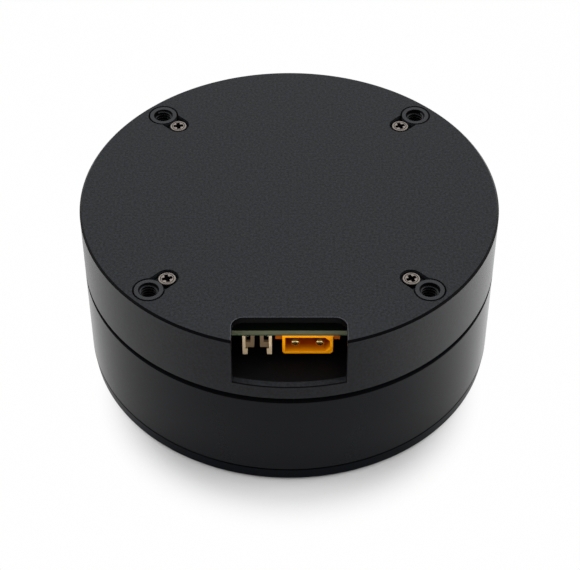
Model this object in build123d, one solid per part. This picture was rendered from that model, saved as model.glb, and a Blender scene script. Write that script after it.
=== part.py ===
from build123d import *

import os
from math import asin, cos, degrees, pi, radians, sin

# Direct drive outrunner motor with its driver board under the rear cover.
# Millimetres. The rotor's output face lies on z = 0 and the rear cover looks up.
# The connector window faces -Y. Every turned piece is centred on the Z axis.

# Outer envelope
outer_diameter = 89.0
rim_chamfer = 0.45
seam_chamfer = 0.2

# Rotor: output plate, drum, back iron and magnets
plate_thickness = 3.4
plate_taper = 0.3
plate_foot_chamfer = 0.5
plate_spigot_height = 0.6
drum_wall = 1.5
drum_foot_height = 2.5
drum_foot_width = 6.0
back_iron_thickness = 2.6
back_iron_setback = 1.2
magnet_count = 28
magnet_thickness = 2.2
magnet_overlap = 1.0
magnet_spacing = 0.9
plate_screw_count = 12
plate_screw_inset = 3.5
plate_screw_diameter = 2.5
plate_screw_length = 5.0
plate_screw_head_diameter = 4.7
plate_screw_sink = 0.1
plate_screw_rim = 0.15

# Output interface in the middle of the plate
output_pilot_diameter = 16.0
output_pilot_chamfer = 0.5
output_bolt_count = 6
output_bolt_circle = 24.0
output_bolt_depth = 9.0

# Metric coarse threads, drawn at their tapping drill
m4_tap_diameter = 3.3
m4_mouth_diameter = 4.25

# Bearings, two of one size, and the shaft that carries them
bearing_bore = 30.0
bearing_section = 6.0
bearing_width = 7.0
bearing_ring_wall = 1.015
bearing_ball_count = 14
bearing_play = 0.03
bearing_land_depth = 0.9
bearing_edge_chamfer = 0.3
cage_thickness = 1.4
cage_height = 5.4
cage_pocket_clearance = 0.15
front_bearing_rise = 1.6
rear_bearing_inset = 2.9
bearing_shoulder_step = 1.5
preload_washer_thickness = 0.6
washer_clearance = 0.2
spacer_thickness = 1.6
shaft_collar_step = 1.5
retaining_ring_thickness = 1.2
retaining_ring_depth = 0.7
retaining_ring_reach = 1.8
retaining_ring_opening = 6.0
retaining_ring_lug = 4.0
retaining_ring_eye = 1.7
shaft_top_margin = 1.1

# Stator: frame disc, hub, core, insulators and coils
hub_wall = 3.0
hub_bottom_clearance = 1.0
frame_thickness = 3.0
frame_fit = 0.05
turning_gap = 1.0
core_length = 12.0
coil_floor_clearance = 2.1
coil_head_room = 2.6
air_gap = 0.6
slot_count = 24
core_yoke = 4.0
tooth_width = 4.0
tooth_tip = 1.1
tooth_tip_slope = 0.5
slot_opening = 1.6
insulator_plate = 0.5
insulator_liner = 0.35
insulator_parting = 0.2
coil_overhang = 2.0
coil_gap = 0.3
coil_corner = 1.0
lead_angles = (75.0, 90.0, 105.0)
lead_diameter = 1.8
lead_sleeve_wall = 0.8
lead_sleeve_length = 4.4

# Rear cover and what holds it
cover_wall = 1.5
lid_thickness = 1.5
lid_corner = 1.0
lid_edge_break = 0.2
boss_inset = 4.5
mount_hole_depth = 9.0
corner_count = 4
corner_angle = 45.0
post_head_diameter = 6.1
post_head_height = 1.7
post_body_diameter = 5.4
post_spigot_diameter = 4.0
post_edge_chamfer = 0.1
boss_opening_clearance = 0.2
cover_screw_offset = 5.0
cover_screw_diameter = 2.0
cover_screw_length = 5.0
cover_screw_head_diameter = 3.6
cover_screw_head_height = 1.1
cover_screw_head_sink = 0.2
screw_pocket_width = 4.6
screw_hole_clearance = 0.1
cover_pad_height = 1.0
cover_pad_diameter = 6.4
screw_column_diameter = 4.4
screw_tail_room = 1.0

# Connector window in the cover
window_width = 22.8
window_depth = 8.3
window_back_radius = 2.4
window_sill_step = 0.5

# Driver board
board_head_room = 2.5
board_thickness = 1.4
board_edge_clearance = 1.5
board_front_setback = 0.3
board_notch_width = 7.2
standoff_angles = (0.0, 120.0, 240.0)
standoff_inset = 4.0
standoff_diameter = 5.0
board_screw_diameter = 2.0
board_screw_length = 5.0
board_screw_head_diameter = 3.6
board_screw_head_height = 1.3

# Power connector: two round pins, 5.0 mm apart, in a keyed shell
power_centre = 3.7
connector_setback = 0.2
power_width = 10.2
power_height = 5.1
power_length = 14.0
power_wall = 0.6
power_cavity_depth = 9.0
power_key_chamfer = 1.0
power_edge_chamfer = 0.5
power_pin_pitch = 5.0
power_pin_diameter = 2.0
power_pin_setback = 0.35
power_pin_end = 11.5
power_tail_diameter = 1.4
power_tail_setback = 10.6
power_tail_stub = 0.8
power_ear_width = 1.4
power_ear_height = 1.25
power_ear_setback = 0.3
power_ear_length = 5.0

# Signal connector: two contacts in a slotted header
signal_centre = -6.45
signal_width = 5.9
signal_height = 5.25
signal_length = 7.0
signal_floor_height = 3.6
signal_foot_width = 1.0
signal_foot_length = 5.5
signal_slot_width = 1.15
signal_slot_depth = 4.0
signal_wall = 0.6
signal_post_setback = 0.4
signal_cavity_width = 1.05
signal_cavity_height = 2.2
signal_cavity_depth = 5.0
signal_contact_width = 0.5
signal_contact_setback = 1.2
signal_contact_tail = 1.2

# Parts on the board: width, depth and height of each kind
transistor_size = (5.0, 6.0, 1.0)
transistor_count = 6
transistor_spacing = 6.4
transistor_inset = 20.5
thermal_pad_margin = 1.5
capacitor_diameter = 6.3
capacitor_height = 5.7
capacitor_clearance = 0.8
capacitor_count = 3
capacitor_spacing = 7.4
capacitor_setback = 1.35
capacitor_shift = 6.0
controller_size = (7.0, 7.0, 1.0)
controller_place = (-15.0, -9.0)
gate_driver_size = (6.0, 6.0, 0.9)
gate_driver_offset = 8.0
shunt_size = (6.3, 3.2, 0.6)
shunt_count = 3
shunt_spacing = 9.0
shunt_offset = 1.0
transceiver_size = (4.9, 3.9, 1.5)
transceiver_place = (-13.0, -18.5)
crystal_size = (3.2, 2.5, 0.8)
crystal_place = (-22.0, -9.0)
encoder_chip_size = (5.0, 4.0, 1.2)

# Angle magnet at the end of the shaft, read by the chip above it
encoder_magnet_diameter = 6.0
encoder_magnet_height = 2.5
encoder_gap = 1.0
holder_plug_diameter = 18.0
holder_plug_length = 4.0
holder_flange_diameter = 22.0
holder_flange_thickness = 1.2
holder_cup_wall = 1.5
holder_cup_rim = 0.5

# Radii that follow from the driving dimensions
outer_radius = outer_diameter / 2
drum_inner_radius = outer_radius - drum_wall
drum_foot_radius = outer_radius - drum_foot_width
plate_screw_place = outer_radius - plate_screw_inset
back_iron_inner_radius = drum_inner_radius - back_iron_thickness
magnet_inner_radius = back_iron_inner_radius - magnet_thickness
core_radius = magnet_inner_radius - air_gap
cover_inner_radius = outer_radius - cover_wall
boss_place = outer_radius - boss_inset
cover_screw_place = boss_place - cover_screw_offset
window_back = outer_radius - window_depth
board_front = window_back - board_front_setback
connector_front = window_back - connector_setback
board_radius = cover_inner_radius - board_edge_clearance
standoff_place = board_radius - standoff_inset
transistor_row = board_radius - transistor_inset
shunt_row = transistor_row + shunt_offset
capacitor_row = connector_front - power_length - capacitor_setback - capacitor_diameter / 2
shaft_radius = bearing_bore / 2
seat_radius = shaft_radius + bearing_section
bearing_ball_diameter = bearing_section - 2 * bearing_ring_wall
ball_circle_radius = (shaft_radius + seat_radius) / 2
hub_radius = seat_radius + hub_wall
yoke_radius = hub_radius + core_yoke
lead_place = (yoke_radius + core_radius) / 2
half_slot_angle = pi / slot_count

# Heights, stacked up from the output face
insulated_half_length = core_length / 2 + insulator_plate
coil_half_length = insulated_half_length + coil_overhang
core_centre_height = plate_thickness + coil_floor_clearance + coil_half_length
core_bottom = core_centre_height - core_length / 2
core_top = core_centre_height + core_length / 2
cover_bottom = core_centre_height + coil_half_length + coil_head_room
drum_bottom = plate_thickness
drum_foot_top = drum_bottom + drum_foot_height
drum_top = cover_bottom - turning_gap
frame_bottom = cover_bottom
frame_top = frame_bottom + frame_thickness
window_sill_height = frame_top + window_sill_step
board_bottom = frame_top + capacitor_clearance + capacitor_height
board_top_height = board_bottom + board_thickness
lid_bottom = board_top_height + board_head_room
overall_height = lid_bottom + lid_thickness
pad_bottom = lid_bottom - cover_pad_height
hub_bottom = plate_thickness + hub_bottom_clearance
front_bearing_height = plate_thickness + front_bearing_rise
front_bearing_top = front_bearing_height + bearing_width
rear_bearing_top = frame_top - rear_bearing_inset
rear_bearing_height = rear_bearing_top - bearing_width
shoulder_top = rear_bearing_height - preload_washer_thickness
shaft_top = rear_bearing_top + retaining_ring_thickness + shaft_top_margin
holder_seat_height = shaft_top - holder_plug_length
magnet_top = board_bottom - encoder_chip_size[2] - encoder_gap
magnet_bottom = magnet_top - encoder_magnet_height

BASE = (Align.CENTER, Align.CENTER, Align.MIN)
FRONT = (Align.CENTER, Align.MIN, Align.MIN)


# Shared building blocks

def disc(radius, low, high):
    return Pos(0, 0, low) * Cylinder(radius, high - low, align=BASE)


def tube(outer, inner, low, high):
    return disc(outer, low, high) - disc(inner, low, high)


def turned(outline):
    face = make_face(Plane.XZ * Polyline(*outline, close=True))
    return revolve(face, Axis.Z)


def on_circle(radius, angle):
    return Pos(radius * cos(radians(angle)), radius * sin(radians(angle)), 0)


def around(piece, count, start=0.0):
    return [Rot(0, 0, start + 360 * step / count) * piece for step in range(count)]


def block(size, place, low):
    width, depth, height = size
    return Pos(place[0], place[1], low) * Box(width, depth, height, align=BASE)


def capsule(width, near, far, low, high):
    # a slot that runs out along +X, with round ends at the two distances
    middle = Pos((near + far) / 2, 0, low) * Box(far - near, width, high - low, align=BASE)
    ends = [Pos(at, 0, 0) * disc(width / 2, low, high) for at in (near, far)]
    return middle + ends[0] + ends[1]


def save(piece, name):
    piece.label = name
    export_step(piece, os.path.join("parts", name + ".step"))


def group(pieces):
    return Compound(children=[solid for piece in pieces for solid in piece.solids()])


# Rear cover: a turned cup with a connector window and four keyhole cut-outs

def cover_cup():
    return turned([
        (0, overall_height),
        (outer_radius - rim_chamfer, overall_height),
        (outer_radius, overall_height - rim_chamfer),
        (outer_radius, cover_bottom + seam_chamfer),
        (outer_radius - seam_chamfer, cover_bottom),
        (cover_inner_radius, cover_bottom),
        (cover_inner_radius, lid_bottom - lid_corner),
        (cover_inner_radius - lid_corner, lid_bottom),
        (0, lid_bottom),
    ])


def window_outline(grow=0.0):
    depth = outer_radius - window_back + grow
    plate = Rectangle(window_width + 2 * grow, 2 * depth)
    return Pos(0, -outer_radius) * fillet(plate.vertices(), window_back_radius + grow)


def window_cut():
    opening = extrude(Pos(0, 0, window_sill_height) * window_outline(), overall_height)
    top = Pos(0, 0, overall_height) * window_outline(lid_edge_break)
    low = Pos(0, 0, overall_height - lid_edge_break) * window_outline()
    return opening + loft([low, top])


def keyhole_cut():
    boss_radius = post_head_diameter / 2 + boss_opening_clearance
    boss = Pos(boss_place, 0, 0)
    screw = Pos(cover_screw_place, 0, 0)
    opening = boss * disc(boss_radius, min(pad_bottom, lid_bottom - lid_corner), overall_height)
    pocket_floor = overall_height - cover_screw_head_sink - cover_screw_head_height
    pocket = capsule(screw_pocket_width, cover_screw_place, boss_place,
                     pocket_floor, overall_height)
    hole = screw * disc(cover_screw_diameter / 2 + screw_hole_clearance, pad_bottom, overall_height)
    return opening + pocket + hole


def rear_cover():
    pad = Pos(cover_screw_place, 0, 0) * disc(cover_pad_diameter / 2, pad_bottom, lid_bottom)
    cover = cover_cup()
    for piece in around(pad, corner_count, corner_angle):
        cover += piece
    for cut in around(keyhole_cut(), corner_count, corner_angle):
        cover -= cut
    return cover - window_cut()


def cover_screws():
    head_top = overall_height - cover_screw_head_sink
    head_bottom = head_top - cover_screw_head_height
    head = disc(cover_screw_head_diameter / 2, head_bottom, head_top)
    shank = disc(cover_screw_diameter / 2, head_bottom - cover_screw_length, head_bottom)
    return group(around(on_circle(cover_screw_place, 0) * (head + shank), corner_count, corner_angle))


# Mounting posts: turned posts with an M4 thread, level with the rear face

def mounting_posts():
    head_radius = post_head_diameter / 2
    body_radius = post_body_diameter / 2
    hole_radius = m4_tap_diameter / 2
    mouth_radius = m4_mouth_diameter / 2
    head_bottom = overall_height - post_head_height
    post = turned([
        (0, frame_bottom),
        (post_spigot_diameter / 2, frame_bottom),
        (post_spigot_diameter / 2, frame_top),
        (body_radius, frame_top),
        (body_radius, head_bottom),
        (head_radius, head_bottom),
        (head_radius, overall_height - post_edge_chamfer),
        (head_radius - post_edge_chamfer, overall_height),
        (mouth_radius, overall_height),
        (hole_radius, overall_height - (mouth_radius - hole_radius)),
        (hole_radius, overall_height - mount_hole_depth),
        (0, overall_height - mount_hole_depth),
    ])
    return group(around(Pos(boss_place, 0, 0) * post, corner_count, corner_angle))


# Stator frame: disc, bearing hub, screw columns and board standoffs

def stator_frame():
    frame = disc(cover_inner_radius - frame_fit, frame_bottom, frame_top)
    frame += disc(hub_radius, hub_bottom, frame_bottom)
    frame += disc(hub_radius + core_yoke / 2, core_centre_height + insulated_half_length, frame_bottom)
    column = disc(screw_column_diameter / 2, frame_top, pad_bottom)
    for piece in around(Pos(cover_screw_place, 0, 0) * column, corner_count, corner_angle):
        frame += piece
    for angle in standoff_angles:
        frame += on_circle(standoff_place, angle) * disc(standoff_diameter / 2, frame_top, board_bottom)
    frame -= disc(seat_radius, hub_bottom, front_bearing_top)
    frame -= disc(seat_radius - bearing_shoulder_step, front_bearing_top, shoulder_top)
    frame -= disc(seat_radius, shoulder_top, frame_top)
    screw_end = overall_height - cover_screw_head_sink - cover_screw_head_height - cover_screw_length
    thread = disc(cover_screw_diameter / 2, screw_end - screw_tail_room, pad_bottom)
    socket = disc(post_spigot_diameter / 2, frame_bottom, frame_top)
    for cut in around(Pos(cover_screw_place, 0, 0) * thread, corner_count, corner_angle):
        frame -= cut
    for cut in around(Pos(boss_place, 0, 0) * socket, corner_count, corner_angle):
        frame -= cut
    board_screw_end = board_top_height - board_screw_length
    thread = disc(board_screw_diameter / 2, board_screw_end - screw_tail_room, board_bottom)
    for angle in standoff_angles:
        frame -= on_circle(standoff_place, angle) * thread
    passage = disc(lead_diameter / 2 + lead_sleeve_wall, frame_bottom, frame_top)
    for angle in lead_angles:
        frame -= on_circle(lead_place, angle) * passage
    return frame


# Stator core, insulators and coils

def tooth_edge(along, half_width):
    # a point on the flank of the tooth beside a slot, with the slot's middle on +X
    across = sin(half_slot_angle)
    lengthwise = cos(half_slot_angle)
    return (along * lengthwise + half_width * across, along * across - half_width * lengthwise)


def mirrored(points):
    return points + [(x, -y) for x, y in reversed(points)]


def slot_cut(low, high):
    half_opening = slot_opening / 2
    outline = mirrored([
        tooth_edge(yoke_radius, tooth_width / 2),
        tooth_edge(core_radius - tooth_tip - tooth_tip_slope, tooth_width / 2),
        (core_radius - tooth_tip, half_opening),
        (core_radius + tooth_tip, half_opening),
    ])
    return extrude(Pos(0, 0, low) * make_face(Polyline(*outline, close=True)), high - low)


def stator_core():
    core = tube(core_radius, hub_radius, core_bottom, core_top)
    slots = around(slot_cut(core_bottom, core_top), slot_count, 180 / slot_count)
    return core - slots


def insulator_half(low, high, core):
    half_width = tooth_width / 2 + insulator_liner
    finger_radius = core_radius - tooth_tip - tooth_tip_slope
    blank = tube(finger_radius, hub_radius, low, high)
    outline = mirrored([
        tooth_edge(yoke_radius + insulator_liner, half_width),
        tooth_edge(core_radius, half_width),
    ])
    slot = extrude(Pos(0, 0, low) * make_face(Polyline(*outline, close=True)), high - low)
    return blank - around(slot, slot_count, 180 / slot_count) - core


def core_insulators():
    core = stator_core()
    middle = core_centre_height
    lower = insulator_half(middle - insulated_half_length, middle - insulator_parting / 2, core)
    upper = insulator_half(middle + insulator_parting / 2, middle + insulated_half_length, core)
    return group([lower, upper])


def coil_end(along):
    # the section of one coil, square to its tooth, at a distance from the axis
    half_width = along * sin(half_slot_angle) / cos(half_slot_angle) - coil_gap / 2
    outline = Rectangle(2 * half_width, 2 * coil_half_length)
    outline = chamfer(outline.vertices(), coil_corner)
    return Pos(along, 0, core_centre_height) * (Plane.YZ * outline)


def coils():
    inner = yoke_radius + insulator_liner
    outer = core_radius - tooth_tip - tooth_tip_slope
    winding = loft([coil_end(inner), coil_end(outer)])
    window = Box(2 * outer, tooth_width + 2 * insulator_liner, 2 * insulated_half_length)
    coil = winding - Pos(outer, 0, core_centre_height) * window
    return group(around(coil, slot_count))


def phase_leads():
    low = core_centre_height + coil_half_length
    lead = disc(lead_diameter / 2, low, board_bottom)
    return group([on_circle(lead_place, angle) * lead for angle in lead_angles])


def lead_sleeves():
    middle = (frame_bottom + frame_top) / 2
    sleeve = tube(lead_diameter / 2 + lead_sleeve_wall, lead_diameter / 2,
                  middle - lead_sleeve_length / 2, middle + lead_sleeve_length / 2)
    return group([on_circle(lead_place, angle) * sleeve for angle in lead_angles])


# Ball bearings: grooved rings, a ball cage and its balls

def groove(height):
    section = Pos(ball_circle_radius, height) * Circle(bearing_ball_diameter / 2 + bearing_play)
    return revolve(Plane.XZ * section, Axis.Z)


def bearing_outer_ring(low):
    land = ball_circle_radius + bearing_ball_diameter / 2 - bearing_land_depth
    high = low + bearing_width
    edge = bearing_edge_chamfer
    ring = turned([
        (land, low), (seat_radius - edge, low), (seat_radius, low + edge),
        (seat_radius, high - edge), (seat_radius - edge, high), (land, high),
    ])
    return ring - groove(low + bearing_width / 2)


def bearing_inner_ring(low):
    land = ball_circle_radius - bearing_ball_diameter / 2 + bearing_land_depth
    high = low + bearing_width
    edge = bearing_edge_chamfer
    ring = turned([
        (shaft_radius + edge, low), (land, low), (land, high),
        (shaft_radius + edge, high), (shaft_radius, high - edge), (shaft_radius, low + edge),
    ])
    return ring - groove(low + bearing_width / 2)


def bearing_balls(low):
    ball = Pos(ball_circle_radius, 0, low + bearing_width / 2) * Sphere(bearing_ball_diameter / 2)
    return group(around(ball, bearing_ball_count))


def bearing_cage(low):
    middle = low + bearing_width / 2
    cage = tube(ball_circle_radius + cage_thickness / 2, ball_circle_radius - cage_thickness / 2,
                middle - cage_height / 2, middle + cage_height / 2)
    pocket = Pos(ball_circle_radius, 0, middle) * Rot(0, 90, 0) * Cylinder(
        bearing_ball_diameter / 2 + cage_pocket_clearance, 2 * cage_thickness)
    return cage - around(pocket, bearing_ball_count)


def preload_washer():
    return tube(seat_radius - washer_clearance, seat_radius - bearing_shoulder_step + washer_clearance,
                shoulder_top, rear_bearing_height)


def bearing_spacer():
    return tube(shaft_radius + spacer_thickness, shaft_radius, front_bearing_top, rear_bearing_height)


def retaining_ring():
    # an open ring that springs into the shaft's groove, with an eyed lug at each end
    ring = Circle(shaft_radius + retaining_ring_reach) - Circle(shaft_radius - retaining_ring_depth)
    ring -= Pos(shaft_radius, 0) * Rectangle(shaft_radius, retaining_ring_opening)
    lug_radius = retaining_ring_lug / 2
    middle = shaft_radius + lug_radius
    turn = degrees(asin((retaining_ring_opening / 2 + lug_radius) / middle))
    for side in (-1, 1):
        ring += Rot(0, 0, side * turn) * Pos(middle, 0) * Circle(lug_radius)
    for side in (-1, 1):
        ring -= Rot(0, 0, side * turn) * Pos(middle, 0) * Circle(retaining_ring_eye / 2)
    return extrude(Pos(0, 0, rear_bearing_top) * ring, retaining_ring_thickness)


# Rotor: output plate with its shaft, drum, back iron and magnets

def plate_blank():
    ring_top = rear_bearing_top + retaining_ring_thickness
    collar = shaft_radius + shaft_collar_step
    pilot = output_pilot_diameter / 2
    side = outer_radius - plate_taper
    return turned([
        (pilot + output_pilot_chamfer, 0),
        (side - plate_foot_chamfer, 0),
        (side, plate_foot_chamfer),
        (outer_radius, plate_thickness - seam_chamfer),
        (outer_radius - seam_chamfer, plate_thickness),
        (drum_foot_radius, plate_thickness),
        (drum_foot_radius, plate_thickness + plate_spigot_height),
        (drum_foot_radius - plate_spigot_height, plate_thickness + plate_spigot_height),
        (drum_foot_radius - 2 * plate_spigot_height, plate_thickness),
        (collar, plate_thickness),
        (collar, front_bearing_height),
        (shaft_radius, front_bearing_height),
        (shaft_radius, rear_bearing_top),
        (shaft_radius - retaining_ring_depth, rear_bearing_top),
        (shaft_radius - retaining_ring_depth, ring_top),
        (shaft_radius, ring_top),
        (shaft_radius, shaft_top - seam_chamfer),
        (shaft_radius - seam_chamfer, shaft_top),
        (holder_plug_diameter / 2, shaft_top),
        (holder_plug_diameter / 2, holder_seat_height),
        (pilot, holder_seat_height),
        (pilot, output_pilot_chamfer),
    ])


def countersunk_screw(low, shank_radius, high):
    # the head's cone starts at the sink depth and narrows by 45 degrees
    head_radius = plate_screw_head_diameter / 2
    outline = [
        (0, low),
        (head_radius, low),
        (head_radius, plate_screw_sink + plate_screw_rim),
        (shank_radius, plate_screw_sink + plate_screw_rim + head_radius - shank_radius),
        (shank_radius, high),
        (0, high),
    ]
    return Pos(plate_screw_place, 0, 0) * turned(outline)


def output_plate():
    plate = plate_blank()
    hole = countersunk_screw(0, plate_screw_diameter / 2 + screw_hole_clearance, plate_thickness)
    plate -= around(hole, plate_screw_count)
    drill = disc(m4_tap_diameter / 2, 0, output_bolt_depth)
    mouth = turned([(0, 0), (m4_mouth_diameter / 2, 0), (0, m4_mouth_diameter / 2)])
    plate -= around(Pos(output_bolt_circle / 2, 0, 0) * (drill + mouth), output_bolt_count)
    return plate


def plate_screws():
    high = plate_screw_sink + plate_screw_length
    screw = countersunk_screw(plate_screw_sink, plate_screw_diameter / 2, high)
    return group(around(screw, plate_screw_count))


def rotor_drum():
    foot = drum_foot_radius
    drum = turned([
        (foot, drum_bottom),
        (outer_radius - seam_chamfer, drum_bottom),
        (outer_radius, drum_bottom + seam_chamfer),
        (outer_radius, drum_top - seam_chamfer),
        (outer_radius - seam_chamfer, drum_top),
        (drum_inner_radius, drum_top),
        (drum_inner_radius, drum_foot_top),
        (foot, drum_foot_top),
    ])
    thread = Pos(plate_screw_place, 0, 0) * disc(plate_screw_diameter / 2, drum_bottom, drum_foot_top)
    return drum - around(thread, plate_screw_count)


def back_iron():
    return tube(drum_inner_radius, back_iron_inner_radius, drum_foot_top, drum_top - back_iron_setback)


def magnets():
    magnet_length = core_length + 2 * magnet_overlap
    low = core_bottom - magnet_overlap
    ring = tube(back_iron_inner_radius, magnet_inner_radius, low, low + magnet_length)
    gap = Pos(back_iron_inner_radius, 0, low) * Box(
        3 * magnet_thickness, magnet_spacing, magnet_length, align=BASE)
    return group([ring - around(gap, magnet_count)])


def magnet_holder():
    plug = holder_plug_diameter / 2
    cup_inner = encoder_magnet_diameter / 2
    cup_outer = cup_inner + holder_cup_wall
    flange_top = shaft_top + holder_flange_thickness
    return turned([
        (0, holder_seat_height),
        (plug, holder_seat_height),
        (plug, shaft_top),
        (holder_flange_diameter / 2, shaft_top),
        (holder_flange_diameter / 2, flange_top),
        (cup_outer, flange_top),
        (cup_outer, magnet_top - holder_cup_rim),
        (cup_inner, magnet_top - holder_cup_rim),
        (cup_inner, magnet_bottom),
        (0, magnet_bottom),
    ])


def encoder_magnet():
    return disc(encoder_magnet_diameter / 2, magnet_bottom, magnet_top)


# Driver board and the parts soldered to it

def power_pin_places():
    return [power_centre - power_pin_pitch / 2, power_centre + power_pin_pitch / 2]


def power_pins():
    pins = []
    height = board_bottom - power_height / 2
    radius = power_pin_diameter / 2
    tip = -connector_front + power_pin_setback + radius
    end = -connector_front + power_pin_end
    tail = -connector_front + power_tail_setback
    for x in power_pin_places():
        rod = Pos(x, tip, height) * Rot(-90, 0, 0) * Cylinder(radius, end - tip, align=BASE)
        leg = Pos(x, tail, 0) * disc(power_tail_diameter / 2, height, board_top_height + power_tail_stub)
        pins.append(rod + Pos(x, tip, height) * Sphere(radius) + leg)
    return group(pins)


def power_cavity():
    half_width = power_width / 2 - power_wall
    half_height = power_height / 2 - power_wall
    key = power_key_chamfer
    outline = [
        (-half_width, -half_height), (half_width - key, -half_height), (half_width, -half_height + key),
        (half_width, half_height - key), (half_width - key, half_height), (-half_width, half_height),
    ]
    face = Plane.XZ * make_face(Polyline(*outline, close=True))
    return Pos(power_centre, -connector_front, board_bottom - power_height / 2) * extrude(
        face, -power_cavity_depth)


def power_connector():
    half_width = power_width / 2
    edge = power_edge_chamfer
    outline = [
        (-half_width, 0), (half_width, 0), (half_width, -power_height + edge),
        (half_width - edge, -power_height), (-half_width + edge, -power_height),
        (-half_width, -power_height + edge),
    ]
    face = Plane.XZ * make_face(Polyline(*outline, close=True))
    shell = Pos(power_centre, -connector_front, board_bottom) * extrude(face, -power_length)
    for side in (-1, 1):
        shell += Pos(power_centre + side * (half_width + power_ear_width / 2),
                     power_ear_setback - connector_front,
                     board_bottom - power_ear_height) * Box(
            power_ear_width, power_ear_length, power_ear_height, align=FRONT)
    shell -= power_cavity()
    return shell - power_pins()


def signal_cavity_places():
    offset = signal_width / 2 - signal_wall - signal_cavity_width / 2
    return [signal_centre - offset, signal_centre + offset]


def signal_box(width, depth, low, high, x=0.0, setback=0.0):
    return Pos(signal_centre + x, setback - connector_front, board_bottom - low) * Box(
        width, depth, low - high, align=FRONT)


def signal_pins():
    pins = []
    size = signal_contact_width
    middle = board_bottom - signal_cavity_height / 2
    start = signal_contact_setback - connector_front
    end = signal_length + signal_contact_tail - connector_front
    for x in signal_cavity_places():
        rod = Pos(x, start, middle - size / 2) * Box(size, end - start, size, align=FRONT)
        foot = Pos(x, end - size, middle - size / 2) * Box(
            size, size, board_bottom - middle + size / 2, align=FRONT)
        pins.append(rod + foot)
    return group(pins)


def signal_connector():
    body = signal_box(signal_width, signal_length, signal_floor_height, 0)
    for side in (-1, 1):
        body += signal_box(signal_foot_width, signal_foot_length, signal_height, 0,
                           side * (signal_width - signal_foot_width) / 2)
    body -= signal_box(signal_slot_width, signal_slot_depth, signal_height, 0)
    body -= signal_box(signal_width - 2 * signal_wall, signal_post_setback, signal_floor_height, 0)
    for x in signal_cavity_places():
        body -= signal_box(signal_cavity_width, signal_cavity_depth, signal_cavity_height, 0,
                           x - signal_centre)
    return body - signal_pins()


def driver_board():
    board = disc(board_radius, board_bottom, board_top_height)
    ahead = Pos(0, -board_front, board_bottom) * Box(
        2 * board_radius, 2 * board_radius, board_thickness, align=(Align.CENTER, Align.MAX, Align.MIN))
    board -= ahead
    notch = capsule(board_notch_width, cover_screw_place, outer_radius, board_bottom, board_top_height)
    board -= around(notch, corner_count, corner_angle)
    for angle in standoff_angles:
        board -= on_circle(standoff_place, angle) * disc(
            board_screw_diameter / 2, board_bottom, board_top_height)
    tail = power_tail_setback - connector_front
    for x in power_pin_places():
        board -= Pos(x, tail, 0) * disc(power_tail_diameter / 2, board_bottom, board_top_height)
    return board


def board_screws():
    head = disc(board_screw_head_diameter / 2, board_top_height, board_top_height + board_screw_head_height)
    shank = disc(board_screw_diameter / 2, board_top_height - board_screw_length, board_top_height)
    return group([on_circle(standoff_place, angle) * (head + shank) for angle in standoff_angles])


def row_places(count, spacing, shift=0.0):
    return [shift + spacing * (step - (count - 1) / 2) for step in range(count)]


def power_transistors():
    places = row_places(transistor_count, transistor_spacing)
    return group([block(transistor_size, (x, transistor_row), board_top_height) for x in places])


def thermal_pad():
    length = transistor_spacing * (transistor_count - 1) + transistor_size[0] + 2 * thermal_pad_margin
    depth = transistor_size[1] + 2 * thermal_pad_margin
    low = board_top_height + transistor_size[2]
    return block((length, depth, lid_bottom - low), (0, transistor_row), low)


def link_capacitors():
    can = disc(capacitor_diameter / 2, board_bottom - capacitor_height, board_bottom)
    places = row_places(capacitor_count, capacitor_spacing, capacitor_shift)
    return group([Pos(x, -capacitor_row, 0) * can for x in places])


def hung(size, place):
    # a part soldered to the underside of the board
    return block(size, place, board_bottom - size[2])


def current_shunts():
    places = row_places(shunt_count, shunt_spacing)
    return group([hung(shunt_size, (x, shunt_row)) for x in places])


def main():
    os.makedirs("parts", exist_ok=True)
    save(rear_cover(), "rear_cover")
    save(cover_screws(), "cover_screws")
    save(mounting_posts(), "mounting_posts")
    save(stator_frame(), "stator_frame")
    save(stator_core(), "stator_core")
    save(core_insulators(), "core_insulators")
    save(coils(), "coils")
    save(phase_leads(), "phase_leads")
    save(lead_sleeves(), "lead_sleeves")
    for name, low in (("front", front_bearing_height), ("rear", rear_bearing_height)):
        save(bearing_outer_ring(low), name + "_bearing_outer_ring")
        save(bearing_inner_ring(low), name + "_bearing_inner_ring")
        save(bearing_balls(low), name + "_bearing_balls")
        save(bearing_cage(low), name + "_bearing_cage")
    save(preload_washer(), "preload_washer")
    save(bearing_spacer(), "bearing_spacer")
    save(retaining_ring(), "retaining_ring")
    save(output_plate(), "output_plate")
    save(plate_screws(), "plate_screws")
    save(rotor_drum(), "rotor_drum")
    save(back_iron(), "back_iron")
    save(magnets(), "magnets")
    save(magnet_holder(), "magnet_holder")
    save(encoder_magnet(), "encoder_magnet")
    save(driver_board(), "driver_board")
    save(board_screws(), "board_screws")
    save(power_connector(), "power_connector")
    save(power_pins(), "power_pins")
    save(signal_connector(), "signal_connector")
    save(signal_pins(), "signal_pins")
    save(power_transistors(), "power_transistors")
    save(thermal_pad(), "thermal_pad")
    save(link_capacitors(), "link_capacitors")
    save(current_shunts(), "current_shunts")
    save(hung(controller_size, controller_place), "controller_chip")
    save(hung(gate_driver_size, (0, transistor_row - gate_driver_offset)), "gate_driver_chip")
    save(hung(transceiver_size, transceiver_place), "transceiver_chip")
    save(hung(crystal_size, crystal_place), "crystal")
    save(hung(encoder_chip_size, (0, 0)), "encoder_chip")


main()
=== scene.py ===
from math import cos, pi, radians, sin, tau

import bmesh
import bpy
from bpy.props import FloatProperty, FloatVectorProperty, IntProperty, PointerProperty
from mathutils import Matrix, Vector


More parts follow.
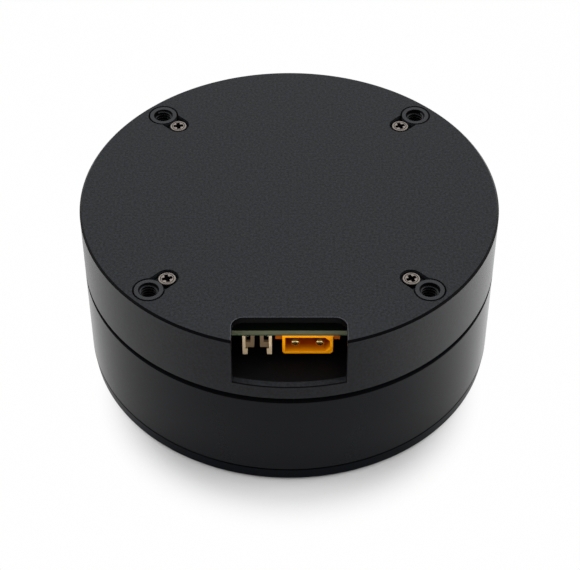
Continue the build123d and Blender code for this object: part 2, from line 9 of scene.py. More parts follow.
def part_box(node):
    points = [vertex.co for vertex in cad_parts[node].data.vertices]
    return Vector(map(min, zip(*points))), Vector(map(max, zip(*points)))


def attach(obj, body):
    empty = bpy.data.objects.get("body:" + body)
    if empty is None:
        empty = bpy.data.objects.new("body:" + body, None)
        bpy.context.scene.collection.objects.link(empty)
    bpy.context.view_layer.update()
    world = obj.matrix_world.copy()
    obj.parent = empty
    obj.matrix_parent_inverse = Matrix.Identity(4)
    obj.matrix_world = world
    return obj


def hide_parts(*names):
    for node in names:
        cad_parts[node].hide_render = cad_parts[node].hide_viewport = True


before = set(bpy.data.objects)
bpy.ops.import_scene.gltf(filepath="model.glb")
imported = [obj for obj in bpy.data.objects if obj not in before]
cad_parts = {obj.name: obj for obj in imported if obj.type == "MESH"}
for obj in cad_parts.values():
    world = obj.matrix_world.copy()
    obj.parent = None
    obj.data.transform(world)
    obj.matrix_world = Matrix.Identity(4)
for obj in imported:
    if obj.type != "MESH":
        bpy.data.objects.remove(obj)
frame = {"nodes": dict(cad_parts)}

bl_info = {
    "name": "Direct Drive Motor",
    "version": (1, 0, 0),
    "blender": (4, 5, 0),
    "location": "View3D > Sidebar > Motor",
    "description": "Dresses the packed motor with smooth pieces, finishes and a soft studio",
    "category": "Object",
}

MM = 0.001
# Steps of a full turn, from the large turned pieces down to the thinnest
TURN_STEPS, BOSS_STEPS, HOLE_STEPS, SCREW_STEPS, PIN_STEPS, WIRE_STEPS = 256, 96, 64, 48, 40, 24
# An edge that turns by more than this stays sharp
CREASE = radians(28)
# Points closer than this are merged
WELD = 0.0005 * MM
# How far a cutter reaches past the piece that it cuts
PAST = 1 * MM
# Slack in a test of where a face or an edge lies
SLACK = 0.01 * MM
# The first of the four bosses and screws stands halfway between X and Y
FIRST_BOSS = pi / 4
BOSSES = 4
# Upward parts of a face's normal: upright below the first, leaning above the second, level above the last
UPRIGHT, LEANING, MOSTLY_UP, LEVEL = 0.1, 0.3, 0.75, 0.95
# Material indices: of faces that a cut leaves, and of faces that take a piece's extra finishes
CARVED, SECOND, THIRD, FOURTH = 1, 2, 3, 4
# Places of the two colours among a Mix node's inputs, and of the mixed colour among its outputs
MIX_A, MIX_B, MIXED = 6, 7, 2


def linear(hex_colour):
    """An sRGB hex colour as linear red, green, blue and alpha."""
    channels = [int(hex_colour[i:i + 2], 16) / 255 for i in (1, 3, 5)]
    return [c / 12.92 if c <= 0.04045 else ((c + 0.055) / 1.055) ** 2.4 for c in channels] + [1.0]


def size(name, default, description, least=0.0):
    """A length in metres that a user may change."""
    return FloatProperty(name=name, description=description, default=default, min=least,
                         unit="LENGTH", precision=5)


def count(name, default, description):
    """A number of like pieces that a user may change."""
    return IntProperty(name=name, description=description, default=default, min=1)


def colour(name, hex_colour, description):
    """A colour that a user may change."""
    return FloatVectorProperty(name=name, description=description, subtype="COLOR", size=4,
                               default=linear(hex_colour), min=0.0, max=1.0)


def bottom_of(name):
    """The height of the bottom of a CAD node."""
    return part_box(name)[0].z


def top_of(name):
    """The height of the top of a CAD node."""
    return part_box(name)[1].z


class CoverSizes(bpy.types.PropertyGroup):
    """Sizes of the rear cover and of what holds it."""

    diameter: size("Diameter", 2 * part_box("rotor_drum")[1].x, "Outer diameter of the cover and drum")
    top: size("Rear face", top_of("rear_cover"), "Height of the rear face above the output face")
    bottom: size("Rim height", bottom_of("rear_cover"), "Height of the cover's lower rim")
    wall: size("Wall", 1.5 * MM, "Thickness of the side wall")
    lid: size("Lid", 1.5 * MM, "Thickness of the lid")
    chamfer: size("Rim chamfer", 0.45 * MM, "Chamfer round the rear face")
    seam: size("Seam chamfer", 0.2 * MM, "Chamfer at the running gap")
    window_width: size("Window width", 22.8 * MM, "Width of the connector window")
    window_back: size("Window back", 36.2 * MM, "Distance of the window's back edge from the axis")
    window_corner: size("Window corner", 2.4 * MM, "Corner radius of the window in the lid")
    sill: size("Sill", 28.6 * MM, "Height of the window's sill")
    edge_break: size("Edge break", 0.2 * MM, "Width of the broken edge round the window")
    boss_edge: size("Small edge break", 0.1 * MM, "Width of the broken edge round the bosses and screws")
    boss_circle: size("Boss circle", 80 * MM, "Circle of the four threaded bosses")
    boss_diameter: size("Boss diameter", 6.1 * MM, "Diameter of a threaded boss")
    boss_gap: size("Boss gap", 0.2 * MM, "Gap between a boss and the cover")
    screw_circle: size("Screw circle", 70 * MM, "Circle of the four cover screws")
    screw_head: size("Screw head", 3.6 * MM, "Head diameter of a cover screw")
    screw_sink: size("Screw sink", 0.2 * MM, "Depth of a screw head below the rear face")
    pocket_width: size("Pocket width", 4.6 * MM, "Width of the pocket round a screw head")
    pocket_depth: size("Pocket depth", 1.3 * MM, "Depth of the pocket round a screw head")


class RotorSizes(bpy.types.PropertyGroup):
    """Sizes of the drum, the output plate and the threads."""

    drum_top: size("Drum top", top_of("rotor_drum"), "Height of the drum's open end")
    plate: size("Plate", 3.4 * MM, "Thickness of the output plate")
    plate_taper: size("Plate taper", 0.3 * MM, "How much the plate narrows towards the output face")
    spigot: size("Spigot", 77 * MM, "Diameter of the spigot that centres the drum on the plate")
    pilot: size("Pilot", 16 * MM, "Diameter of the pilot bore")
    bolt_circle: size("Bolt circle", 24 * MM, "Circle of the output threads")
    bolt_count: count("Bolt count", 6, "Number of output threads")
    screw_circle: size("Plate screw circle", 82 * MM, "Circle of the countersunk screws")
    screw_count: count("Screw count", 12, "Number of countersunk screws")
    screw_head: size("Plate screw head", 4.7 * MM, "Head diameter of a countersunk screw")
    thread: size("Thread", 4 * MM, "Outer diameter of the metric threads")
    pitch: size("Pitch", 0.7 * MM, "Pitch of the metric threads")


class ConnectorSizes(bpy.types.PropertyGroup):
    """Sizes of the two connectors under the board's edge."""

    face: size("Connector face", 36 * MM, "Distance of the connectors' face from the axis")
    board_bottom: size("Board underside", bottom_of("driver_board"), "Height of the board's underside")
    power_centre: size("Power centre", 3.7 * MM, "Sideways place of the power connector", -40 * MM)
    power_width: size("Power width", 10.2 * MM, "Width of the power connector's shell")
    power_height: size("Power height", 5.1 * MM, "Height of the power connector's shell")
    power_length: size("Power length", 14 * MM, "Length of the power connector's shell")
    power_wall: size("Power wall", 0.6 * MM, "Wall of the power connector's shell")
    pin_pitch: size("Pin pitch", 5 * MM, "Distance between the power pins")
    pin_diameter: size("Pin diameter", 2 * MM, "Diameter of a power pin")
    signal_centre: size("Signal centre", -6.45 * MM, "Sideways place of the signal header", -40 * MM)
    signal_width: size("Signal width", 5.9 * MM, "Width of the signal header")
    signal_height: size("Signal height", 5.25 * MM, "Height of the signal header with its feet")
    signal_length: size("Signal length", 7 * MM, "Length of the signal header")
    signal_wall: size("Signal wall", 0.6 * MM, "Side wall of the signal header")
    chamber: size("Contact chamber", 1.05 * MM, "Width of a contact's chamber in the signal header")


class FinishColours(bpy.types.PropertyGroup):
    """Colours of the finishes that show."""

    cover: colour("Cover", "#18191B", "Black anodising on the bead-blasted rear cover")
    boss: colour("Boss", "#1D1E20", "Black anodising on the turned bosses")
    # Partly painted shade: in the threads and holes, on the window walls and in the running gap's groove
    cut: colour("Cut edges", "#050506", "Black anodising on the bright-cut edges and in the threads")
    drum: colour("Drum", "#0C0D0F", "Black anodising on the turned drum")
    plate: colour("Plate", "#04060A", "Black anodising on the turned output plate")
    # Darker than the anodising alone, as painted shade inside the cover
    frame: colour("Frame", "#050506", "Black anodising inside the cover")
    screw: colour("Screw", "#9D948D", "Nickel on the small screws")
    power: colour("Power shell", "#FFA000", "Yellow nylon of the power connector")
    # A darker orange, painted as shade deep inside the power shell
    deep: colour("Deep shell", "#C84C02", "Yellow nylon deep inside the power shell, where it glows orange")
    signal: colour("Signal header", "#D3BD9B", "Cream nylon of the signal header")
    # Brown, as painted shade on the cream nylon between the header's walls
    posts: colour("Signal posts", "#786349", "Aged nylon between the header's walls")
    ears: colour("Power ears", "#9A4A04", "Shaded amber nylon inside the power shell and on its ears")
    laminate: colour("Laminate", "#565943", "Cut edge of the glass laminate")
    mask: colour("Mask", "#17361F", "Green mask at the foot of the board's edge")
    # Near black, as painted shade on the board's upper face under the lid
    shaded: colour("Shaded mask", "#0A120C", "Dark green mask on the board's upper face")


# Materials

def node(tree, kind, inputs=(), **settings):
    """Adds a node. Settings are its own properties; an input is a value or an output to link."""
    made = tree.nodes.new(kind)
    for key, value in settings.items():
        setattr(made, key, value)
    for key, value in dict(inputs).items():
        if isinstance(value, bpy.types.NodeSocket):
            tree.links.new(value, made.inputs[key])
        else:
            made.inputs[key].default_value = value
    return made


def new_material(name):
    """An empty material with its output node."""
    material = bpy.data.materials.new(name)
    material.use_nodes = True
    tree = material.node_tree
    tree.nodes.clear()
    return material, tree, node(tree, "ShaderNodeOutputMaterial")


def tint_of(source):
    """A linear colour, from a hex value or from the name of a colour in the panel."""
    if source.startswith("#"):
        return linear(source)
    return list(getattr(bpy.context.scene.motor_colours, source))


def toned(rgba, share):
    """A colour with its light multiplied by a share."""
    return [min(1.0, channel * share) for channel in rgba[:3]] + [1.0]


def grain(tree, grains, detail=2.0, stretch=(1, 1, 1)):
    """Noise of a given number of grains per millimetre, on the piece's own coordinates."""
    coords = node(tree, "ShaderNodeTexCoord")
    mapping = node(tree, "ShaderNodeMapping", {"Vector": coords.outputs["Object"], "Scale": stretch})
    return node(tree, "ShaderNodeTexNoise",
                {"Vector": mapping.outputs["Vector"], "Scale": grains / MM, "Detail": detail})


def plain(name, tint, roughness, metallic=0.0, grains=0.0, depth=0.0, spread=0.0, share=1.0, **more):
    """A finish of one tint, of which it shows a share.

    It may have a bump of so many grains per millimetre, of a depth in millimetres, and a tone that
    changes with them by a spread. Other names are the shader's own sockets.
    """
    rgba = toned(tint_of(tint), share)
    material, tree, output = new_material(name)
    shader = node(tree, "ShaderNodeBsdfPrincipled", {
        "Base Color": rgba, "Roughness": roughness, "Metallic": metallic,
        **{key.replace("_", " "): value for key, value in more.items()}})
    tree.links.new(shader.outputs["BSDF"], output.inputs["Surface"])
    if grains:
        noise = grain(tree, grains)
        bump = node(tree, "ShaderNodeBump", {
            "Height": noise.outputs["Fac"], "Strength": 1.0, "Distance": depth * MM})
        tree.links.new(bump.outputs["Normal"], shader.inputs["Normal"])
        if spread:
            # Most of the noise lies between 0.3 and 0.7
            clear = node(tree, "ShaderNodeMapRange", {
                "Value": noise.outputs["Fac"], "From Min": 0.3, "From Max": 0.7})
            mottle = node(tree, "ShaderNodeMix", {
                "Factor": clear.outputs["Result"], MIX_A: toned(rgba, 1 - spread),
                MIX_B: toned(rgba, 1 + spread)}, data_type="RGBA")
            tree.links.new(mottle.outputs[MIXED], shader.inputs["Base Color"])
    return material


# Finishes of one tint, named for their materials
PLAIN_FINISHES = {
    # Bead-blasted aluminium, dyed black: matt, with a fine even mottle and little shine.
    # Bead marks are about 0.1 mm; they are drawn at 0.5 mm, so that they show
    "black_anodised_blasted_lid_aluminium": dict(
        tint="cover", roughness=0.3, grains=2, depth=0.015, spread=0.34, Specular_IOR_Level=0.08),
    # The same on the side wall, as a darker copy of it: painted shade that offsets the light that the floor
    # throws on it
    "black_anodised_blasted_side_aluminium": dict(
        tint="cover", share=0.75, roughness=0.3, grains=2, depth=0.015, spread=0.34,
        Specular_IOR_Level=0.08),
    # Fine-turned aluminium, dyed black: satin, bright where it is seen at a low angle.
    # Turning marks are about 0.15 mm apart; their grain is drawn near 0.45 mm, so that it shows
    "black_anodised_turned_aluminium": dict(
        tint="drum", roughness=0.22, grains=2.2, depth=0.003, spread=0.06, Specular_IOR_Level=0.06),
    # The turned output plate: dyed a deeper black than the drum, with less shine
    "black_anodised_plate_aluminium": dict(
        tint="plate", roughness=0.32, grains=2.2, depth=0.003, spread=0.06, Specular_IOR_Level=0.02),
    # The turned end faces of the bosses: the same dye, a little lighter
    "black_anodised_boss_aluminium": dict(
        tint="boss", roughness=0.4, grains=2.5, depth=0.004, spread=0.08, Specular_IOR_Level=0.15),
    # Edges and threads cut after blasting, then dyed: smooth and black. Its near-black tone is partly
    # painted shade, in the threads and holes, on the window walls and in the running gap's groove, and on
    # the rim chamfer it stands for the dark that the edge reflects
    "black_anodised_cut_aluminium": dict(tint="cut", roughness=0.35, Specular_IOR_Level=0.04),
    # The frame inside the cover, seen only through the window: dull, and darker than its black anodising
    # alone as painted shade
    "black_anodised_frame_aluminium": dict(
        tint="frame", roughness=0.6, grains=2.5, depth=0.008, spread=0.1, Specular_IOR_Level=0.15),
    # A painted highlight on the sharp upper edge of the window: a thin light line
    "black_anodised_worn_aluminium": dict(tint="#2C2D30", roughness=0.3, Specular_IOR_Level=0.15),
    # A painted highlight on the upper flanks of the threads: a lighter tint where they catch a little light
    "black_anodised_thread_aluminium": dict(tint="#141517", roughness=0.3, Specular_IOR_Level=0.3),
    # Nickel over steel on small screws: a warm grey metal with a soft shine
    "nickel_plated_steel": dict(
        tint="screw", roughness=0.42, metallic=1.0, grains=5, depth=0.006, spread=0.12),
    # Nickel in the driver recess and in the head's ring groove, painted nearly black as shade
    "nickel_in_recess": dict(tint="#2A2523", roughness=0.3, metallic=1.0),
    # Oil-black hardened steel of the plate screws: dark, with a soft metal shine
    "blackened_steel": dict(tint="#2B2A2A", roughness=0.4, metallic=1.0, grains=4, depth=0.002),
    # Moulded cream nylon of the small header: satin, lit a little from within
    "moulded_cream_nylon": dict(
        tint="signal", roughness=0.42, grains=1.5, depth=0.003, Subsurface_Weight=0.2,
        Subsurface_Scale=0.3 * MM, Subsurface_Radius=(1.0, 0.7, 0.45)),
    # Cream nylon between the header's walls, painted brown as shade
    "aged_cream_nylon": dict(tint="posts", roughness=0.5),
    # Yellow nylon painted a darker amber as shade, inside the shell and on its ears
    "amber_nylon": dict(tint="ears", roughness=0.45, Specular_IOR_Level=0.1),
    # Gold flash on the round pins: bright and warm
    "gold_plated_brass": dict(tint="#F2CF86", roughness=0.26, metallic=1.0, grains=3, depth=0.0006),
    # Bright tin on the small contacts: near white
    "tin_plated_brass": dict(tint="#CFCDC8", roughness=0.25, metallic=1.0, grains=3, depth=0.001),
    # Bare turned aluminium: pale, with a soft shine
    "turned_aluminium": dict(tint="#B9BABC", roughness=0.35, metallic=1.0, grains=2.5, depth=0.002),
    # Stacked sheets of silicon steel under varnish: a dull dark grey
    "varnished_silicon_steel": dict(
        tint="#6E6C69", roughness=0.5, metallic=1.0, grains=3, depth=0.004),
    # Soft iron, dulled by oil
    "soft_iron": dict(tint="#77757A", roughness=0.45, metallic=1.0, grains=2.5, depth=0.004),
    # Glass-filled nylon of the slot insulators: off-white and matt
    "glass_filled_nylon": dict(tint="#D9D6CC", roughness=0.55, grains=1.5, depth=0.004),
    # Copper wire under amber enamel: glossy and uneven, as wound wire is
    "enamelled_copper": dict(
        tint="#B5602C", roughness=0.3, metallic=0.8, grains=1.8, depth=0.05, spread=0.15),
    # Black silicone rubber: dull
    "black_silicone_rubber": dict(tint="#1C1C1D", roughness=0.75, grains=2.5, depth=0.01),
    # Ground chrome steel of rings and balls: close to a mirror
    "ground_bearing_steel": dict(
        tint="#C9CACC", roughness=0.16, metallic=1.0, grains=6, depth=0.0008),
    # Glass-filled polyamide of the ball cages: brown and satin
    "cage_polyamide": dict(tint="#4A3A2C", roughness=0.5, grains=2, depth=0.004),
    # Tempered spring steel: blue-grey
    "tempered_spring_steel": dict(
        tint="#5E6066", roughness=0.3, metallic=1.0, grains=4, depth=0.001),
    # Nickel plate over sintered magnets: bright
    "nickel_plated_magnet": dict(
        tint="#B9B6B0", roughness=0.22, metallic=1.0, grains=3, depth=0.001),
    # Black moulded epoxy of the chips: matt
    "chip_epoxy": dict(tint="#17181A", roughness=0.6, grains=3.5, depth=0.004),
    # Grey heat-conducting silicone: dull and soft
    "heat_pad_silicone": dict(tint="#8C9499", roughness=0.8, grains=1.5, depth=0.01),
    # Drawn aluminium cans under a clear coat: pale and bright
    "lacquered_aluminium_can": dict(
        tint="#B4B6B9", roughness=0.3, metallic=1.0, grains=3, depth=0.001),
    # Gold-tinted steel lid of the crystal
    "crystal_lid_steel": dict(tint="#BFB79E", roughness=0.28, metallic=1.0, grains=3, depth=0.001),
}


def glass_laminate():
    """Glass laminate: beige fibres at the cut edge, with the green mask as a line at its foot, and its
    upper face painted near black as shade.
    """
    low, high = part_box("driver_board")
    mask_low, mask_high = low.z + 0.10 * MM, low.z + 0.34 * MM
    crown_low, crown_high = high.z - 0.06 * MM, high.z - 0.02 * MM
    material, tree, output = new_material("glass_laminate")
    coords = node(tree, "ShaderNodeTexCoord")
    parts = node(tree, "ShaderNodeSeparateXYZ", {"Vector": coords.outputs["Object"]})
    rise = node(tree, "ShaderNodeMapRange", {
        "Value": parts.outputs["Z"], "From Min": mask_low, "From Max": mask_high})
    # Glass threads run along the edge about 0.22 mm apart, so the grain is five times finer upwards
    threads = grain(tree, 0.9, 3.0, (1, 1, 5))
    beige = tint_of("laminate")
    weave = node(tree, "ShaderNodeMix", {
        "Factor": threads.outputs["Fac"], MIX_A: toned(beige, 0.75), MIX_B: toned(beige, 1.25)},
        data_type="RGBA")
    faced = node(tree, "ShaderNodeMix", {
        "Factor": rise.outputs["Result"], MIX_A: tint_of("mask"), MIX_B: weave.outputs[MIXED]},
        data_type="RGBA")
    # The upper face turns to the near-black green as painted shade
    crown = node(tree, "ShaderNodeMapRange", {
        "Value": parts.outputs["Z"], "From Min": crown_low, "From Max": crown_high})
    painted_shade_top = node(tree, "ShaderNodeMix", {
        "Factor": crown.outputs["Result"], MIX_A: faced.outputs[MIXED], MIX_B: tint_of("shaded")},
        data_type="RGBA")
    shader = node(tree, "ShaderNodeBsdfPrincipled", {
        "Base Color": painted_shade_top.outputs[MIXED], "Roughness": 0.55, "Specular IOR Level": 0.25})
    tree.links.new(shader.outputs["BSDF"], output.inputs["Surface"])
    return material


def moulded_yellow_nylon():
    """Moulded yellow nylon: glossy, lit a little from within, and painted a darker orange deeper inside the
    shell as shade.
    """
    front = -bpy.context.scene.motor_connectors.face
    orange_from, orange_to = front + 0.05 * MM, front + 2.4 * MM
    material = plain("moulded_yellow_nylon", "power", 0.32, grains=1.5, depth=0.002,
                     Specular_IOR_Level=0.2, Subsurface_Weight=0.1, Subsurface_Scale=0.3 * MM,
                     Subsurface_Radius=(1.0, 0.4, 0.05))
    tree = material.node_tree
    coords = node(tree, "ShaderNodeTexCoord")
    parts = node(tree, "ShaderNodeSeparateXYZ", {"Vector": coords.outputs["Object"]})
    # Deeper inside the shell the colour turns to the darker orange, as painted shade
    inward = node(tree, "ShaderNodeMapRange", {
        "Value": parts.outputs["Y"], "From Min": orange_from, "From Max": orange_to})
    shade = node(tree, "ShaderNodeMix", {
        "Factor": inward.outputs["Result"], MIX_A: tint_of("power"), MIX_B: tint_of("deep")},
        data_type="RGBA")
    tree.links.new(shade.outputs[MIXED], tree.nodes["Principled BSDF"].inputs["Base Color"])
    return material


# Finishes that change from place to place
PATTERNED_FINISHES = {
    "glass_laminate": glass_laminate,
    "moulded_yellow_nylon": moulded_yellow_nylon,
}


def finish(name):
    """The material of a finish, made the first time that it is asked for."""
    scene = bpy.context.scene
    key = "motor_finish_" + name
    if scene.get(key) is None:
        patterned = PATTERNED_FINISHES.get(name)
        scene[key] = patterned() if patterned else plain(name, **PLAIN_FINISHES[name])
    return scene[key]


# Shapes

def moved(bm, place):
    """A bmesh, moved to a place."""
    bmesh.ops.translate(bm, verts=bm.verts, vec=place)
    return bm


def mesh_of(bm, name):
    """The mesh of a bmesh, which is used up."""
    mesh = bpy.data.meshes.new(name)
    bm.to_mesh(mesh)
    bm.free()
    return mesh


def shown(name, data):
    """A new object in the scene, of a mesh, a lamp or a camera."""
    made = bpy.data.objects.new(name, data)
    bpy.context.scene.collection.objects.link(made)
    return made


def turned(outline, steps=TURN_STEPS, centre=(0, 0)):
    """A bmesh of an outline of radii and heights, spun once round an upright axis."""
    bm = bmesh.new()
    verts = [bm.verts.new((radius, 0, height)) for radius, height in outline]
    edges = [bm.edges.new(pair) for pair in zip(verts, verts[1:])]
    if outline[0][0] > 0 or outline[-1][0] > 0:
        edges.append(bm.edges.new((verts[-1], verts[0])))
    bmesh.ops.spin(bm, geom=verts + edges, cent=(0, 0, 0), axis=(0, 0, 1), angle=tau, steps=steps,
                   use_merge=True)
    bmesh.ops.remove_doubles(bm, verts=bm.verts, dist=WELD)
    bmesh.ops.recalc_face_normals(bm, faces=bm.faces)
    return moved(bm, (*centre, 0))


def rod(radius, low, high, steps, centre):
    """An upright round rod, as a piece or as the cutter of a plain hole."""
    return turned([(0, low), (radius, low), (radius, high), (0, high)], steps, centre)


def prism(outline, rise, corners=(), radius=0.0, segments=8):
    """A bmesh of a flat outline of points, with some corners rounded, pushed out along a vector."""
    bm = bmesh.new()
    bm.faces.new([bm.verts.new(point) for point in outline])
    if corners:
        bm.verts.ensure_lookup_table()
        bmesh.ops.bevel(bm, geom=[bm.verts[i] for i in corners], offset=radius, offset_type="OFFSET",
                        affect="VERTICES", segments=segments, profile=0.5, material=-1)
    side = bmesh.ops.extrude_face_region(bm, geom=bm.faces[:])
    raised = [item for item in side["geom"] if isinstance(item, bmesh.types.BMVert)]
    bmesh.ops.translate(bm, verts=raised, vec=rise)
    bmesh.ops.recalc_face_normals(bm, faces=bm.faces)
    return bm


def block(across, along, up):
    """A box between two limits on each of X, Y and Z."""
    (left, right), (front, back), (low, high) = across, along, up
    outline = [(left, front, low), (right, front, low), (right, front, high), (left, front, high)]
    return prism(outline, (0, back - front, 0))


def joined(parts):
    """One bmesh of several, which are used up."""
    whole = bmesh.new()
    for part in parts:
        mesh = mesh_of(part, "joined")
        whole.from_mesh(mesh)
        bpy.data.meshes.remove(mesh)
    return whole


def repeated(bm, number, start=0.0):
    """A bmesh repeated round the Z axis. The first copy is turned by the start angle."""
    mesh = mesh_of(bm, "repeated")
    whole = bmesh.new()
    for step in range(number):
        before = len(whole.verts)
        whole.from_mesh(mesh)
        whole.verts.ensure_lookup_table()
        bmesh.ops.rotate(whole, verts=whole.verts[before:], cent=(0, 0, 0),
                         matrix=Matrix.Rotation(start + tau * step / number, 3, "Z"))
    bpy.data.meshes.remove(mesh)
    return whole


def temporary(bm, index):
    """A short-lived object of a bmesh whose faces carry one material index."""
    for face in bm.faces:
        face.material_index = index
    mesh = mesh_of(bm, "temporary")
    # Empty slots, so that a cut keeps the index
    for _ in range(CARVED + 1):
        mesh.materials.append(None)
    return shown("temporary", mesh)


def carved(bm, cutters):
    """A bmesh with others cut out of it. Faces that a cut leaves have the index CARVED."""
    whole = temporary(bm, 0)
    tools = [temporary(cutter, CARVED) for cutter in cutters]
    for tool in tools:
        cut = whole.modifiers.new("cut", "BOOLEAN")
        cut.operation = "DIFFERENCE"
        cut.solver = "EXACT"
        cut.object = tool
    bpy.context.view_layer.update()
    shape = whole.evaluated_get(bpy.context.evaluated_depsgraph_get())
    mesh = bpy.data.meshes.new_from_object(shape)
    result = bmesh.new()
    result.from_mesh(mesh)
    bpy.data.meshes.remove(mesh)
    for item in [whole] + tools:
        old = item.data
        bpy.data.objects.remove(item)
        bpy.data.meshes.remove(old)
    if not result.faces:
        raise RuntimeError("a cut left nothing of its piece")
    bmesh.ops.remove_doubles(result, verts=result.verts, dist=WELD)
    return result


def is_mouth(edge):
    """Whether an edge lies between an old face and one that a cut left."""
    return len(edge.link_faces) == 2 and len({face.material_index for face in edge.link_faces}) == 2


def is_sloping(face):
    """Whether a face is neither upright nor level."""
    return LEANING < abs(face.normal.z) < LEVEL


def break_edges(bm, edges, width, segments=2, crisp=True):
    """Rounds some edges slightly. A crisp rounding has a sharp line where it meets the old faces."""
    made = bmesh.ops.bevel(bm, geom=edges, offset=width, offset_type="OFFSET", affect="EDGES",
                           segments=segments, profile=0.5, material=-1, clamp_overlap=True)
    rounded = set(made["faces"])
    for face in rounded:
        face.material_index = SECOND
        for edge in face.edges:
            if crisp and any(other not in rounded for other in edge.link_faces):
                edge.seam = True


def mark_seam(bm, outer, width):
    """Gives the second finish to the narrow chamfers at the outer edge of a turned piece, which is near
    black there as painted shade in the running gap's groove.
    """
    for face in bm.faces:
        far = face.calc_center_median().to_2d().length
        if outer - width < far < outer and is_sloping(face):
            face.material_index = SECOND


def piece(bm, name, body, material, stands_for, weld=True, extra=()):
    """Makes the finished object of a bmesh, riding on its body in place of CAD nodes.

    Faces with the material index SECOND, THIRD or FOURTH take the extra finishes in turn.
    """
    if weld:
        bmesh.ops.remove_doubles(bm, verts=bm.verts, dist=WELD)
        bmesh.ops.recalc_face_normals(bm, faces=bm.faces)
    for face in bm.faces:
        face.smooth = True
        place = face.material_index - SECOND + 1
        face.material_index = place if 1 <= place <= len(extra) else 0
    for edge in bm.edges:
        flowing = len(edge.link_faces) == 2 and edge.calc_face_angle(0) < CREASE
        edge.smooth = flowing and not edge.seam
    mesh = mesh_of(bm, name)
    for used in (material, *extra):
        mesh.materials.append(finish(used))
    made = shown(name, mesh)
    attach(made, body)
    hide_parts(*stands_for)


def thread_ridge(radius, pitch, low, high, steps=28):
    """A ridge with sloping flanks and a flat crest that winds up the wall of a threaded hole.

    It has as many whole turns as fit between the two heights, and ends at the upper one.
    """
    turns = int((high - low) / pitch) - 1
    low = high - (turns + 1) * pitch
    # The depth of an inner metric thread
    depth = 0.54 * pitch
    # One turn's section, in shares of the depth and of the pitch, from just inside the wall
    section = [(0.1, 0), (-1, 0.375), (-1, 0.625), (-0.45, 0.8125), (0.1, 1)]
    bm = bmesh.new()
    verts = [bm.verts.new((radius + out * depth, 0, low + up * pitch)) for out, up in section]
    edges = [bm.edges.new((verts[i - 1], verts[i])) for i in range(len(verts))]
    bmesh.ops.spin(bm, geom=verts + edges, cent=(0, 0, 0), axis=(0, 0, 1), angle=turns * tau,
                   steps=turns * steps, dvec=(0, 0, pitch / steps))
    ends = [edge for edge in bm.edges if edge.is_boundary]
    bmesh.ops.holes_fill(bm, edges=ends, sides=len(section))
    bmesh.ops.recalc_face_normals(bm, faces=bm.faces)
    return bm


def capsule_cut(width, near, far, low, high):
    """A cutter for a slot along +X whose near end is round."""
    half = width / 2
    # Just under half the width, so that the two rounded corners don't meet in one point
    radius, corner_steps = 0.999 * half, 16
    outline = [(near - half, -half, low), (far, -half, low), (far, half, low), (near - half, half, low)]
    return prism(outline, (0, 0, high - low), (0, 3), radius, corner_steps)


def cross_cut(arm, reach, corner, top, depth, spin):
    """A cutter for a cross recess that tapers downwards, spun to an angle."""
    taper, corner_steps = 0.45, 3
    above = 0.05 * MM
    outline = []
    for quarter in range(4):
        turn = Matrix.Rotation(quarter * tau / 4, 3, "Z")
        for point in ((reach, -arm, 0), (reach, arm, 0), (arm, arm, 0)):
            outline.append(turn @ Vector(point))
    bm = prism([(p.x, p.y, top) for p in outline], (0, 0, -depth), range(len(outline)), corner,
               corner_steps)
    foot = [vert for vert in bm.verts if vert.co.z < top - depth / 2]
    bmesh.ops.scale(bm, verts=foot, vec=(taper, taper, 1))
    crown = [vert for vert in bm.verts if vert.co.z > top - depth / 2]
    bmesh.ops.translate(bm, verts=crown, vec=(0, 0, above))
    bmesh.ops.rotate(bm, verts=bm.verts, cent=(0, 0, 0), matrix=Matrix.Rotation(spin, 3, "Z"))
    return bm


# Operators, one for each piece or group of like pieces

